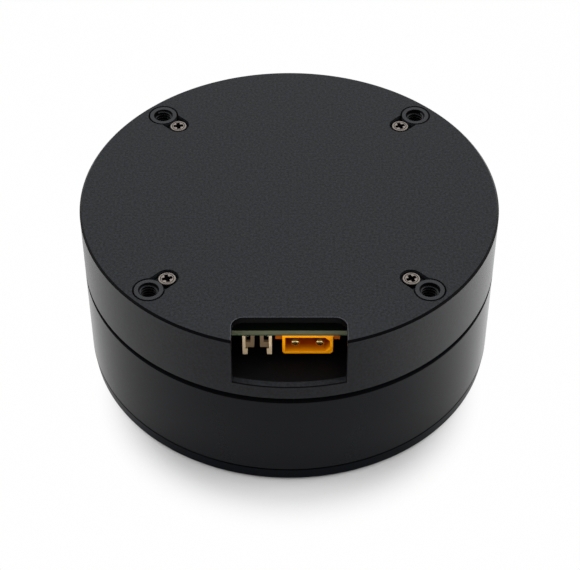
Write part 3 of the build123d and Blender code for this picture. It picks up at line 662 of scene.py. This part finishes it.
class MOTOR_OT_rear_cover(bpy.types.Operator):
    """Turn the rear cover and cut its window, boss openings and screw pockets"""

    bl_idname = "motor.rear_cover"
    bl_label = "Rear cover"

    def execute(self, context):
        s = context.scene.motor_cover
        outer = s.diameter / 2
        inner = outer - s.wall
        under = s.top - s.lid
        corner = 1.0 * MM
        cup = turned([
            (0, s.top), (outer - s.chamfer, s.top), (outer, s.top - s.chamfer),
            (outer, s.bottom + s.seam), (outer - s.seam, s.bottom), (inner, s.bottom),
            (inner, under - corner), (inner - corner, under), (0, under)])
        low, high = under - corner, s.top + PAST
        half = s.window_width / 2
        front = -outer - 2 * PAST
        corners, corner_steps = (2, 3), 14
        window = prism([
            (-half, front, s.sill), (half, front, s.sill), (half, -s.window_back, s.sill),
            (-half, -s.window_back, s.sill)],
            (0, 0, high - s.sill), corners, s.window_corner, corner_steps)
        boss_place, screw_place = s.boss_circle / 2, s.screw_circle / 2
        screw_hole = 1.1 * MM
        opening = rod(s.boss_diameter / 2 + s.boss_gap, low, high, HOLE_STEPS, (boss_place, 0))
        pocket = capsule_cut(s.pocket_width, screw_place, boss_place, s.top - s.pocket_depth, high)
        hole = rod(screw_hole, low, high, WIRE_STEPS, (screw_place, 0))
        cuts = [repeated(cut, BOSSES, FIRST_BOSS) for cut in (opening, pocket, hole)]
        cover = carved(cup, [window] + cuts)
        # How near counts as at a face or an edge, and how long a sliver is
        near = 0.1 * MM

        def by_window(vert):
            return abs(vert.co.x) < half + near and vert.co.y < near - s.window_back

        def on_face(vert):
            return vert.co.z > s.top - near

        def outside(vert):
            return on_face(vert) or vert.co.to_2d().length > inner + near

        slivers = [edge for edge in cover.edges if is_mouth(edge) and edge.calc_length() < near]
        bmesh.ops.dissolve_degenerate(cover, dist=near, edges=slivers)
        mouth = [edge for edge in cover.edges if is_mouth(edge) and edge.calc_face_angle(0) > CREASE]
        wide = [edge for edge in mouth if all(by_window(v) and outside(v) for v in edge.verts)]
        small = [edge for edge in mouth if all(on_face(v) and not by_window(v) for v in edge.verts)]
        break_edges(cover, small, s.boss_edge, 1)
        break_edges(cover, [edge for edge in wide if edge.is_valid], s.edge_break)
        margin = 2 * s.edge_break
        for face in cover.faces:
            middle = face.calc_center_median()
            far = middle.to_2d().length
            broken = middle.z > s.top - s.chamfer and is_sloping(face)
            window_wall = (face.material_index == CARVED and middle.z > under
                           and by_window(face.verts[0]))
            at_window = (abs(middle.x) < half + margin and middle.y < margin - s.window_back
                         and far < outer - s.chamfer - near)
            # The upward faces of the window's edge break take a lighter finish as a painted highlight
            if broken and at_window and face.normal.z > MOSTLY_UP:
                face.material_index = FOURTH
            # The rim chamfer, the small edge breaks and the window's walls take the near-black cut finish,
            # partly as painted shade
            elif broken or window_wall:
                face.material_index = SECOND
            # The upright outer wall takes the darker copy of the cover finish as painted shade
            elif abs(face.normal.z) < UPRIGHT and far > outer - near:
                face.material_index = THIRD
        piece(cover, "rear_cover_shell", "stator", "black_anodised_blasted_lid_aluminium",
              ["rear_cover"],
              extra=("black_anodised_cut_aluminium", "black_anodised_blasted_side_aluminium",
                     "black_anodised_worn_aluminium"))
        return {"FINISHED"}


class MOTOR_OT_cover_screws(bpy.types.Operator):
    """Make the four cross-recess screws that hold the cover"""

    bl_idname = "motor.cover_screws"
    bl_label = "Cover screws"

    def execute(self, context):
        s = context.scene.motor_cover
        recess_angles = (20, 8, 17, 26)
        head = s.screw_head / 2
        shank = 1.0 * MM
        top = s.top - s.screw_sink
        under = top - 1.1 * MM
        foot = under - 5.0 * MM
        taper, tip = 0.25 * MM, 0.3 * MM
        # A fine ring groove runs round the recess, and the head's rim is rounded
        ring, half_ring, dip = head - 0.44 * MM, 0.08 * MM, 0.06 * MM
        rim, shoulder = 0.18 * MM, 0.05 * MM
        outline = [
            (0, top), (ring - half_ring, top), (ring, top - dip), (ring + half_ring, top),
            (head - rim, top), (head - shoulder, top - dip), (head, top - rim), (head, under),
            (shank, under), (shank, foot + tip), (shank - taper, foot), (0, foot)]
        deep, crown = top - 0.2 * MM, top - 0.1 * MM
        screws = []
        for step, turn in enumerate(recess_angles):
            recess = cross_cut(arm=0.42 * MM, reach=1.14 * MM, corner=0.16 * MM, top=top,
                               depth=1.0 * MM, spin=radians(turn))
            screw = carved(turned(outline, SCREW_STEPS), [recess])
            mouth = [edge for edge in screw.edges
                     if is_mouth(edge) and min(v.co.z for v in edge.verts) > deep]
            # The recess and the shank under the head take the near-black nickel as painted shade
            for face in screw.faces:
                shaded = face.material_index == CARVED or face.calc_center_median().z < deep
                face.material_index = SECOND if shaded else 0
            break_edges(screw, mouth, width=0.07 * MM, crisp=False)
            for face in screw.faces:
                middle = face.calc_center_median()
                in_ring = abs(middle.to_2d().length - ring) < half_ring and middle.z < top - SLACK
                # The ring groove takes the near-black nickel as painted shade
                if middle.z > crown and in_ring:
                    face.material_index = SECOND
                elif middle.z > crown and face.normal.z > LEANING:
                    face.material_index = 0
            angle = FIRST_BOSS + step * tau / BOSSES
            screws.append(moved(screw, Vector((cos(angle), sin(angle), 0)) * s.screw_circle / 2))
        piece(joined(screws), "cross_recess_screws", "stator", "nickel_plated_steel", ["cover_screws"],
              extra=("nickel_in_recess",))
        return {"FINISHED"}


class MOTOR_OT_mounting_posts(bpy.types.Operator):
    """Turn the four threaded bosses and wind their threads"""

    bl_idname = "motor.mounting_posts"
    bl_label = "Mounting posts"

    def execute(self, context):
        s = context.scene.motor_cover
        r = context.scene.motor_rotor
        head, neck, spigot = s.boss_diameter / 2, 2.7 * MM, 2.0 * MM
        foot = bottom_of("mounting_posts")
        seat = foot + 3 * MM
        shoulder = s.top - 1.7 * MM
        floor = s.top - 9 * MM
        bore = r.thread / 2
        chamfer = 0.13 * MM
        mouth = bore + chamfer
        edge = 0.1 * MM
        post = turned([
            (0, foot), (spigot, foot), (spigot, seat), (neck, seat), (neck, shoulder), (head, shoulder),
            (head, s.top - edge), (head - edge, s.top), (mouth, s.top), (bore, s.top - chamfer),
            (bore, floor), (0, floor)], BOSS_STEPS)
        ridge = thread_ridge(bore, r.pitch, low=floor + 0.2 * MM, high=s.top - 0.15 * MM)
        crest = bore - 0.25 * r.pitch
        # Upper flanks near the crest take a lighter finish as painted light; the rest of the ridge is near
        # black as painted shade
        for face in ridge.faces:
            lit = face.normal.z > LEANING and face.calc_center_median().to_2d().length < crest
            face.material_index = THIRD if lit else SECOND
        # The bore, its mouth and the boss's outer edge by the gap are near black as painted shade
        for face in post.faces:
            middle = face.calc_center_median()
            far = middle.to_2d().length
            in_hole = far < mouth and middle.z > floor - SLACK
            on_edge = far > head - edge and middle.z > s.top - edge
            if in_hole or on_edge:
                face.material_index = SECOND
        post = moved(joined([post, ridge]), (s.boss_circle / 2, 0, 0))
        piece(repeated(post, BOSSES, FIRST_BOSS), "threaded_bosses", "stator",
              "black_anodised_boss_aluminium", ["mounting_posts"], weld=False,
              extra=("black_anodised_cut_aluminium", "black_anodised_thread_aluminium"))
        return {"FINISHED"}


class MOTOR_OT_rotor_drum(bpy.types.Operator):
    """Turn the drum that carries the magnet ring"""

    bl_idname = "motor.rotor_drum"
    bl_label = "Rotor drum"

    def execute(self, context):
        s = context.scene.motor_cover
        r = context.scene.motor_rotor
        outer = s.diameter / 2
        inner = outer - s.wall
        bore = r.spigot / 2
        step = r.plate + 2.5 * MM
        groove = 2 * s.seam
        drum = turned([
            (bore, r.plate), (outer - groove, r.plate), (outer, r.plate + s.seam),
            (outer, r.drum_top - s.seam), (outer - s.seam, r.drum_top), (inner, r.drum_top),
            (inner, step), (bore, step)])
        mark_seam(drum, outer, groove)
        piece(drum, "drum_shell", "rotor", "black_anodised_turned_aluminium", ["rotor_drum"],
              extra=("black_anodised_cut_aluminium",))
        return {"FINISHED"}


class MOTOR_OT_output_plate(bpy.types.Operator):
    """Turn the output plate with its shaft and cut its countersinks and threads"""

    bl_idname = "motor.output_plate"
    bl_label = "Output plate"

    def execute(self, context):
        s = context.scene.motor_cover
        r = context.scene.motor_rotor
        outer = s.diameter / 2
        side = outer - r.plate_taper
        edge = 0.5 * MM
        groove = 2 * s.seam
        # The spigot is a low ring, sloped on its inside
        spigot, rise = r.spigot / 2, 0.6 * MM
        pilot, cup, shaft, collar = r.pilot / 2, 9 * MM, 15 * MM, 16.5 * MM
        ring_seat = shaft - 0.7 * MM
        ring_low, ring_high = bottom_of("retaining_ring"), top_of("retaining_ring")
        collar_top = 5 * MM
        top = top_of("output_plate")
        seat = top - 4 * MM
        shaft_edge = 0.2 * MM
        plate = turned([
            (pilot + edge, 0), (side - edge, 0), (side, edge), (outer, r.plate - s.seam),
            (outer - groove, r.plate), (spigot, r.plate), (spigot, r.plate + rise),
            (spigot - rise, r.plate + rise), (spigot - 2 * rise, r.plate), (collar, r.plate),
            (collar, collar_top), (shaft, collar_top), (shaft, ring_low), (ring_seat, ring_low),
            (ring_seat, ring_high), (shaft, ring_high), (shaft, top - shaft_edge),
            (shaft - shaft_edge, top), (cup, top), (cup, seat), (pilot, seat), (pilot, edge)])
        head, shank = r.screw_head / 2, 1.35 * MM
        cone, through = 0.25 * MM, 4.5 * MM
        sink = turned([
            (0, -PAST), (head, -PAST), (head, cone), (shank, cone + head - shank), (shank, through),
            (0, through)], SCREW_STEPS, (r.screw_circle / 2, 0))
        bore, chamfer, deep = r.thread / 2, 0.12 * MM, 9 * MM
        hole = turned([
            (0, -PAST), (bore + chamfer + PAST, -PAST), (bore, chamfer), (bore, deep), (0, deep)],
            SCREW_STEPS, (r.bolt_circle / 2, 0))
        plate = carved(plate, [repeated(sink, r.screw_count), repeated(hole, r.bolt_count)])
        bmesh.ops.recalc_face_normals(plate, faces=plate.faces)
        mark_seam(plate, outer, groove)
        ridge = thread_ridge(bore, r.pitch, low=0.1 * MM, high=deep - 0.2 * MM)
        ridge = moved(ridge, (r.bolt_circle / 2, 0, 0))
        piece(joined([plate, repeated(ridge, r.bolt_count)]), "output_flange", "rotor",
              "black_anodised_plate_aluminium", ["output_plate"], weld=False,
              extra=("black_anodised_cut_aluminium",))
        return {"FINISHED"}


class MOTOR_OT_plate_screws(bpy.types.Operator):
    """Make the countersunk socket screws of the output plate"""

    bl_idname = "motor.plate_screws"
    bl_label = "Plate screws"

    def execute(self, context):
        r = context.scene.motor_rotor
        head, shank = r.screw_head / 2, 1.25 * MM
        low, cone, foot = 0.1 * MM, 0.25 * MM, 5.1 * MM
        play, edge = 0.02 * MM, 0.08 * MM
        taper, tip = 0.2 * MM, 0.3 * MM
        screw = turned([
            (0, low), (head - edge, low), (head - play, low + edge), (head - play, cone),
            (shank, cone + head - shank), (shank, foot - tip), (shank - taper, foot), (0, foot)],
            SCREW_STEPS)
        corner, start, reach = 1.1 * MM, low - 0.5 * MM, 1.6 * MM
        socket = [(corner * cos(i * tau / 6), corner * sin(i * tau / 6), start) for i in range(6)]
        screw = moved(carved(screw, [prism(socket, (0, 0, reach))]), (r.screw_circle / 2, 0, 0))
        piece(repeated(screw, r.screw_count), "socket_screws", "rotor", "blackened_steel",
              ["plate_screws"])
        return {"FINISHED"}


class MOTOR_OT_power_connector(bpy.types.Operator):
    """Mould the keyed power shell and turn its two round pins"""

    bl_idname = "motor.power_connector"
    bl_label = "Power connector"

    def shell(self, c):
        """The shell, with its hollow keyed on the right, and an ear on either side."""
        x, half = c.power_centre, c.power_width / 2
        face, top = -c.face, c.board_bottom
        low = top - c.power_height
        corner = 0.5 * MM
        shell = prism([
            (x - half, face, top), (x + half, face, top), (x + half, face, low + corner),
            (x + half - corner, face, low), (x - half + corner, face, low),
            (x - half, face, low + corner)], (0, c.power_length, 0))
        inner, roof, floor = half - c.power_wall, top - c.power_wall, low + c.power_wall
        ahead, depth = face - PAST, 9 * MM
        key = 1.0 * MM
        hollow = prism([
            (x - inner, ahead, floor), (x + inner - key, ahead, floor), (x + inner, ahead, floor + key),
            (x + inner, ahead, roof - key), (x + inner - key, ahead, roof), (x - inner, ahead, roof)],
            (0, depth + PAST, 0))
        shell = carved(shell, [hollow])
        rim = [edge for edge in shell.edges if max(v.co.y for v in edge.verts) < face + SLACK]
        break_edges(shell, rim, width=0.09 * MM, segments=3)
        # The hollow's floor and its lower key catch the light; its other walls take the darker amber as
        # painted shade
        lit = 0.5
        for patch in shell.faces:
            shaded = patch.material_index == CARVED and patch.normal.z < lit
            patch.material_index = SECOND if shaded else 0
        wide, high, long = 1.4 * MM, 1.25 * MM, 5 * MM
        front = face + 0.3 * MM
        parts = [shell]
        for side in (-1, 1):
            near = x + side * half
            ear = block((near, near + side * wide), (front, front + long), (top - high, top))
            break_edges(ear, ear.edges[:], width=0.08 * MM)
            # The ears take the darker amber as painted shade
            for patch in ear.faces:
                patch.material_index = SECOND
            parts.append(ear)
        return joined(parts)

    def pins(self, c):
        """Two round pins with rounded tips, each with its leg into the board."""
        face, top = -c.face, c.board_bottom
        height = top - c.power_height / 2
        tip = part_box("power_pins")[0].y
        radius = c.pin_diameter / 2
        length = face + 11.5 * MM - tip
        rounding, tip_steps = 0.6 * radius, 8
        turns = [step * pi / 2 / tip_steps for step in range(tip_steps + 1)]
        outline = [(radius - rounding * (1 - sin(turn)), rounding * (1 - cos(turn))) for turn in turns]
        leg, leg_place, leg_top = 0.7 * MM, face + 10.6 * MM, top + 2.2 * MM
        pins = []
        for side in (-1, 1):
            across = c.power_centre + side * c.pin_pitch / 2
            pin = turned([(0, 0)] + outline + [(radius, length), (0, length)], PIN_STEPS)
            bmesh.ops.rotate(pin, verts=pin.verts, cent=(0, 0, 0), matrix=Matrix.Rotation(-pi / 2, 3, "X"))
            pins += [moved(pin, (across, tip, height)),
                     rod(leg, height, leg_top, WIRE_STEPS, (across, leg_place))]
        return joined(pins)

    def execute(self, context):
        c = context.scene.motor_connectors
        piece(self.shell(c), "power_shell", "stator", "moulded_yellow_nylon", ["power_connector"],
              extra=("amber_nylon",))
        piece(self.pins(c), "round_pins", "stator", "gold_plated_brass", ["power_pins"])
        return {"FINISHED"}


class MOTOR_OT_signal_connector(bpy.types.Operator):
    """Mould the two-way signal header and bend its contacts"""

    bl_idname = "motor.signal_connector"
    bl_label = "Signal header"

    def contact_places(self, c):
        """The sideways places of the two contacts, in the middle of their chambers."""
        reach = c.signal_width / 2 - c.signal_wall - c.chamber / 2
        return [c.signal_centre + side * reach for side in (-1, 1)]

    def header(self, c):
        """The header's body on its two feet, with a slot between the chambers of its contacts."""
        x, half, wall = c.signal_centre, c.signal_width / 2, c.signal_wall
        face, top = -c.face, c.board_bottom
        low, floor = top - c.signal_height, top - 3.6 * MM
        back = face + c.signal_length
        foot = 1.0 * MM
        body = prism([
            (x - half, face, top), (x + half, face, top), (x + half, face, low),
            (x + half - foot, face, low), (x + half - foot, face, floor),
            (x - half + foot, face, floor), (x - half + foot, face, low), (x - half, face, low)],
            (0, c.signal_length, 0))
        ahead, below, above = face - PAST, low - PAST, top + PAST
        slot, slot_end = 1.15 * MM / 2, face + 4 * MM
        recess = face + 0.4 * MM
        foot_end = face + 5.5 * MM
        mouth, lip, chamber_end = top - 2.2 * MM, face + 1.1 * MM, face + 5 * MM
        overlap = 0.2 * MM
        cuts = [
            block((x - slot, x + slot), (ahead, slot_end), (below, above)),
            block((x - half + wall, x + half - wall), (ahead, recess), (floor, above)),
            block((x - half - PAST, x + half + PAST), (foot_end, back + 2 * PAST), (below, floor))]
        for middle in self.contact_places(c):
            across = (middle - c.chamber / 2, middle + c.chamber / 2)
            cuts.append(block(across, (ahead, chamber_end), (mouth, above)))
            cuts.append(block(across, (lip, chamber_end), (below, mouth + overlap)))
        body = carved(body, cuts)
        sharp = [edge for edge in body.edges
                 if len(edge.link_faces) == 2 and edge.calc_face_angle(0) > CREASE]
        break_edges(body, sharp, width=0.05 * MM)
        # Faces between the outer walls take the brown nylon as painted shade
        for patch in body.faces:
            middle = patch.calc_center_median()
            between = abs(middle.x - x) < half - wall - 0.02 * MM and middle.z > floor
            patch.material_index = SECOND if between else 0
        return body

    def contacts(self, c):
        """Two square wires, each with its leg up into the board."""
        face, top = -c.face, c.board_bottom
        half = 0.25 * MM
        height = top - 1.1 * MM
        tip, bend = face + 1.2 * MM, face + 8.2 * MM
        wires = []
        for middle in self.contact_places(c):
            across = (middle - half, middle + half)
            wire = block(across, (tip, bend), (height - half, height + half))
            break_edges(wire, wire.edges[:], width=0.06 * MM)
            wires += [wire, block(across, (bend - 2 * half, bend), (height - half, top))]
        return joined(wires)

    def execute(self, context):
        c = context.scene.motor_connectors
        piece(self.header(c), "signal_header", "stator", "moulded_cream_nylon", ["signal_connector"],
              extra=("aged_cream_nylon",))
        piece(self.contacts(c), "signal_contacts", "stator", "tin_plated_brass", ["signal_pins"])
        return {"FINISHED"}


class MOTOR_OT_bearing_balls(bpy.types.Operator):
    """Replace the balls of both bearings with smooth ones"""

    bl_idname = "motor.bearing_balls"
    bl_label = "Bearing balls"

    def execute(self, context):
        ball_circle, balls = 36 * MM, 14
        for end in ("front", "rear"):
            low, high = bottom_of(end + "_bearing_balls"), top_of(end + "_bearing_balls")
            ball = bmesh.new()
            place = Matrix.Translation((ball_circle / 2, 0, (low + high) / 2))
            bmesh.ops.create_uvsphere(ball, u_segments=32, v_segments=20, radius=(high - low) / 2,
                                      matrix=place)
            piece(repeated(ball, balls), end + "_steel_balls", end + "_ball_set",
                  "ground_bearing_steel", [end + "_bearing_balls"])
        return {"FINISHED"}


# Finishes of the CAD nodes that stay as they are
INNER_FINISHES = {
    "black_anodised_frame_aluminium": ("stator_frame",),
    "varnished_silicon_steel": ("stator_core",),
    "glass_filled_nylon": ("core_insulators",),
    "enamelled_copper": ("coils", "phase_leads"),
    "black_silicone_rubber": ("lead_sleeves",),
    "ground_bearing_steel": (
        "front_bearing_outer_ring", "front_bearing_inner_ring",
        "rear_bearing_outer_ring", "rear_bearing_inner_ring"),
    "cage_polyamide": ("front_bearing_cage", "rear_bearing_cage"),
    "tempered_spring_steel": ("preload_washer", "retaining_ring"),
    "turned_aluminium": ("bearing_spacer", "magnet_holder"),
    "soft_iron": ("back_iron",),
    "nickel_plated_magnet": ("magnets", "encoder_magnet"),
    "glass_laminate": ("driver_board",),
    "nickel_plated_steel": ("board_screws",),
    "chip_epoxy": (
        "power_transistors", "current_shunts", "controller_chip", "gate_driver_chip",
        "transceiver_chip", "encoder_chip"),
    "heat_pad_silicone": ("thermal_pad",),
    "lacquered_aluminium_can": ("link_capacitors",),
    "crystal_lid_steel": ("crystal",),
}


class MOTOR_OT_inner_parts(bpy.types.Operator):
    """Give every part inside the motor its finish"""

    bl_idname = "motor.inner_parts"
    bl_label = "Inner parts"

    def execute(self, context):
        for material, names in INNER_FINISHES.items():
            for name in names:
                part = frame["nodes"][name]
                part.data.materials.clear()
                part.data.materials.append(finish(material))
        return {"FINISHED"}


# Studio

def soft_world():
    """A white surround with a dark side towards the front, as behind a photographer."""
    towards_photographer = (0, -0.73, 0.68)
    dark_from, dark_to, darkest = 0.1, 0.75, 0.06
    world = bpy.data.worlds.new("soft_surround")
    bpy.context.scene.world = world
    world.use_nodes = True
    tree = world.node_tree
    tree.nodes.clear()
    rays = node(tree, "ShaderNodeLightPath")
    shiny = node(tree, "ShaderNodeMath", {
        0: rays.outputs["Is Glossy Ray"], 1: rays.outputs["Is Transmission Ray"]}, operation="MAXIMUM")
    towards = node(tree, "ShaderNodeTexCoord")
    ahead = node(tree, "ShaderNodeVectorMath", {
        0: towards.outputs["Generated"], 1: towards_photographer}, operation="DOT_PRODUCT")
    dark = node(tree, "ShaderNodeMapRange", {
        "Value": ahead.outputs["Value"], "From Min": dark_from, "From Max": dark_to,
        "To Min": 1.0, "To Max": darkest}, interpolation_type="SMOOTHSTEP")
    gloss = node(tree, "ShaderNodeMix", {
        "Factor": shiny.outputs[0], "A": 1.0, "B": dark.outputs["Result"]}, data_type="FLOAT")
    level = node(tree, "ShaderNodeMix", {
        "Factor": rays.outputs["Is Camera Ray"], "A": gloss.outputs["Result"], "B": 1.0},
        data_type="FLOAT")
    light = node(tree, "ShaderNodeBackground", {"Color": (1, 1, 1, 1), "Strength": level.outputs["Result"]})
    node(tree, "ShaderNodeOutputWorld", {"Surface": light.outputs["Background"]})


def studio_paper():
    """Pale seamless paper: lit near the object, so that its shadow shows, and plain white further out."""
    lit_centre = (0, -17 * MM, 0)
    lit_radius, white_radius = 31 * MM, 43 * MM
    glow_near, glow_far = 35 * MM, 85 * MM
    left_glow, right_glow = 0.35, 1.1
    white = 0.995
    lit_grey, bounce_grey = (0.48, 0.48, 0.48, 1), (0.75, 0.75, 0.75, 1)
    material, tree, output = new_material("white_studio_paper")
    coords = node(tree, "ShaderNodeTexCoord")
    flat = node(tree, "ShaderNodeVectorMath", {
        0: coords.outputs["Object"], 1: lit_centre}, operation="DISTANCE")
    far = node(tree, "ShaderNodeMapRange", {
        "Value": flat.outputs["Value"], "From Min": lit_radius, "From Max": white_radius},
        interpolation_type="SMOOTHSTEP")
    lit = node(tree, "ShaderNodeBsdfDiffuse", {"Color": lit_grey})
    rays = node(tree, "ShaderNodeLightPath")
    shiny = node(tree, "ShaderNodeMath", {
        0: rays.outputs["Is Glossy Ray"], 1: rays.outputs["Is Transmission Ray"]}, operation="MAXIMUM")
    # The paper glows brighter in reflections only, a little to the left and more to the right, as painted
    # reflections of white boards at the sides, which are not in the scene
    parts = node(tree, "ShaderNodeSeparateXYZ", {"Vector": coords.outputs["Object"]})
    left = node(tree, "ShaderNodeMapRange", {
        "Value": parts.outputs["X"], "From Min": -glow_near, "From Max": -glow_far,
        "To Min": 0.0, "To Max": left_glow})
    right = node(tree, "ShaderNodeMapRange", {
        "Value": parts.outputs["X"], "From Min": glow_near, "From Max": glow_far,
        "To Min": 0.0, "To Max": right_glow})
    side_glow = node(tree, "ShaderNodeMath", {0: left.outputs["Result"], 1: right.outputs["Result"]})
    level = node(tree, "ShaderNodeMath", {0: shiny.outputs[0], 1: side_glow.outputs[0], 2: white},
                 operation="MULTIPLY_ADD")
    glow = node(tree, "ShaderNodeEmission", {"Color": (1, 1, 1, 1), "Strength": level.outputs[0]})
    shown = node(tree, "ShaderNodeMixShader", {
        "Fac": far.outputs["Result"], 1: lit.outputs[0], 2: glow.outputs[0]})
    seen = node(tree, "ShaderNodeMath", {0: rays.outputs["Is Camera Ray"], 1: shiny.outputs[0]},
                operation="MAXIMUM")
    bounce = node(tree, "ShaderNodeBsdfDiffuse", {"Color": bounce_grey})
    final = node(tree, "ShaderNodeMixShader", {
        "Fac": seen.outputs[0], 1: bounce.outputs[0], 2: shown.outputs[0]})
    tree.links.new(final.outputs[0], output.inputs["Surface"])
    return material


def lay_floor():
    """A round floor of studio paper, just below the output face."""
    radius, drop = 6.0, 0.02 * MM
    bm = bmesh.new()
    bmesh.ops.create_circle(bm, cap_ends=True, segments=64, radius=radius)
    bmesh.ops.recalc_face_normals(bm, faces=bm.faces)
    mesh = mesh_of(bm, "studio_floor")
    mesh.materials.append(studio_paper())
    floor = shown("studio_floor", mesh)
    floor.location.z = -drop


def soft_lamp(name, place, target, width, depth, power):
    """A large soft lamp at a place, turned towards a target and unseen in reflections."""
    lamp = bpy.data.lights.new(name, "AREA")
    lamp.shape = "RECTANGLE"
    lamp.size, lamp.size_y = width, depth
    lamp.energy = power
    made = shown(name, lamp)
    made.visible_glossy = False
    made.location = place
    made.rotation_euler = (Vector(target) - Vector(place)).to_track_quat("-Z", "Y").to_euler()


def place_camera(scene):
    """The camera where the photograph was taken from, looking down at the motor's front."""
    photo_width, middle_pixel, focal_pixels = 580, 289.258, 1728.58
    sensor = 36
    aim_height, distance = 19 * MM, 382.436 * MM
    elevation, pitch = radians(43.179), radians(43.690)
    lens = bpy.data.cameras.new("product_camera")
    lens.sensor_width = sensor
    lens.lens = focal_pixels / photo_width * sensor
    lens.shift_x = (photo_width / 2 - middle_pixel) / photo_width
    lens.clip_start, lens.clip_end = 0.01, 50
    camera = shown("product_camera", lens)
    camera.location = (0, -distance * cos(elevation), aim_height + distance * sin(elevation))
    camera.rotation_euler = (pi / 2 - pitch, 0, 0)
    scene.camera = camera


class MOTOR_OT_stage(bpy.types.Operator):
    """Lay the floor, hang the lamps and place the camera at the photograph's angle"""

    bl_idname = "motor.stage"
    bl_label = "Stage"

    def execute(self, context):
        scene = context.scene
        scene.view_settings.view_transform = "Standard"
        soft_world()
        lay_floor()
        top, side = (0, 0, 0.03), (0, 0, 0.02)
        soft_lamp("overhead_softbox", (0, 0.25, 0.9), top, width=0.9, depth=0.7, power=14)
        soft_lamp("left_softbox", (-0.9, -0.1, 0.45), side, width=0.6, depth=0.6, power=4.5)
        soft_lamp("right_softbox", (0.9, -0.05, 0.45), side, width=0.6, depth=0.6, power=6)
        place_camera(scene)
        return {"FINISHED"}


class MOTOR_PT_parts(bpy.types.Panel):
    """Lists the motor's pieces, their sizes and their colours."""

    bl_idname = "MOTOR_PT_parts"
    bl_label = "Direct drive motor"
    bl_space_type = "VIEW_3D"
    bl_region_type = "UI"
    bl_category = "Motor"

    def draw(self, context):
        for operator in OPERATORS:
            self.layout.operator(operator.bl_idname)
        for group in GROUPS:
            box = self.layout.box()
            settings = getattr(context.scene, group)
            for name in settings.__annotations__:
                box.prop(settings, name)


OPERATORS = (
    MOTOR_OT_rear_cover,
    MOTOR_OT_cover_screws,
    MOTOR_OT_mounting_posts,
    MOTOR_OT_rotor_drum,
    MOTOR_OT_output_plate,
    MOTOR_OT_plate_screws,
    MOTOR_OT_power_connector,
    MOTOR_OT_signal_connector,
    MOTOR_OT_bearing_balls,
    MOTOR_OT_inner_parts,
    MOTOR_OT_stage,
)
GROUPS = {
    "motor_cover": CoverSizes,
    "motor_rotor": RotorSizes,
    "motor_connectors": ConnectorSizes,
    "motor_colours": FinishColours,
}


def register():
    for name, group in GROUPS.items():
        bpy.utils.register_class(group)
        setattr(bpy.types.Scene, name, PointerProperty(type=group))
    for kind in OPERATORS + (MOTOR_PT_parts,):
        bpy.utils.register_class(kind)


def unregister():
    for kind in reversed(OPERATORS + (MOTOR_PT_parts,)):
        bpy.utils.unregister_class(kind)
    for name, group in reversed(GROUPS.items()):
        delattr(bpy.types.Scene, name)
        bpy.utils.unregister_class(group)


def main():
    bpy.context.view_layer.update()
    register()
    for operator in OPERATORS:
        group, name = operator.bl_idname.split(".")
        getattr(getattr(bpy.ops, group), name)()


if __name__ == "__main__":
    main()
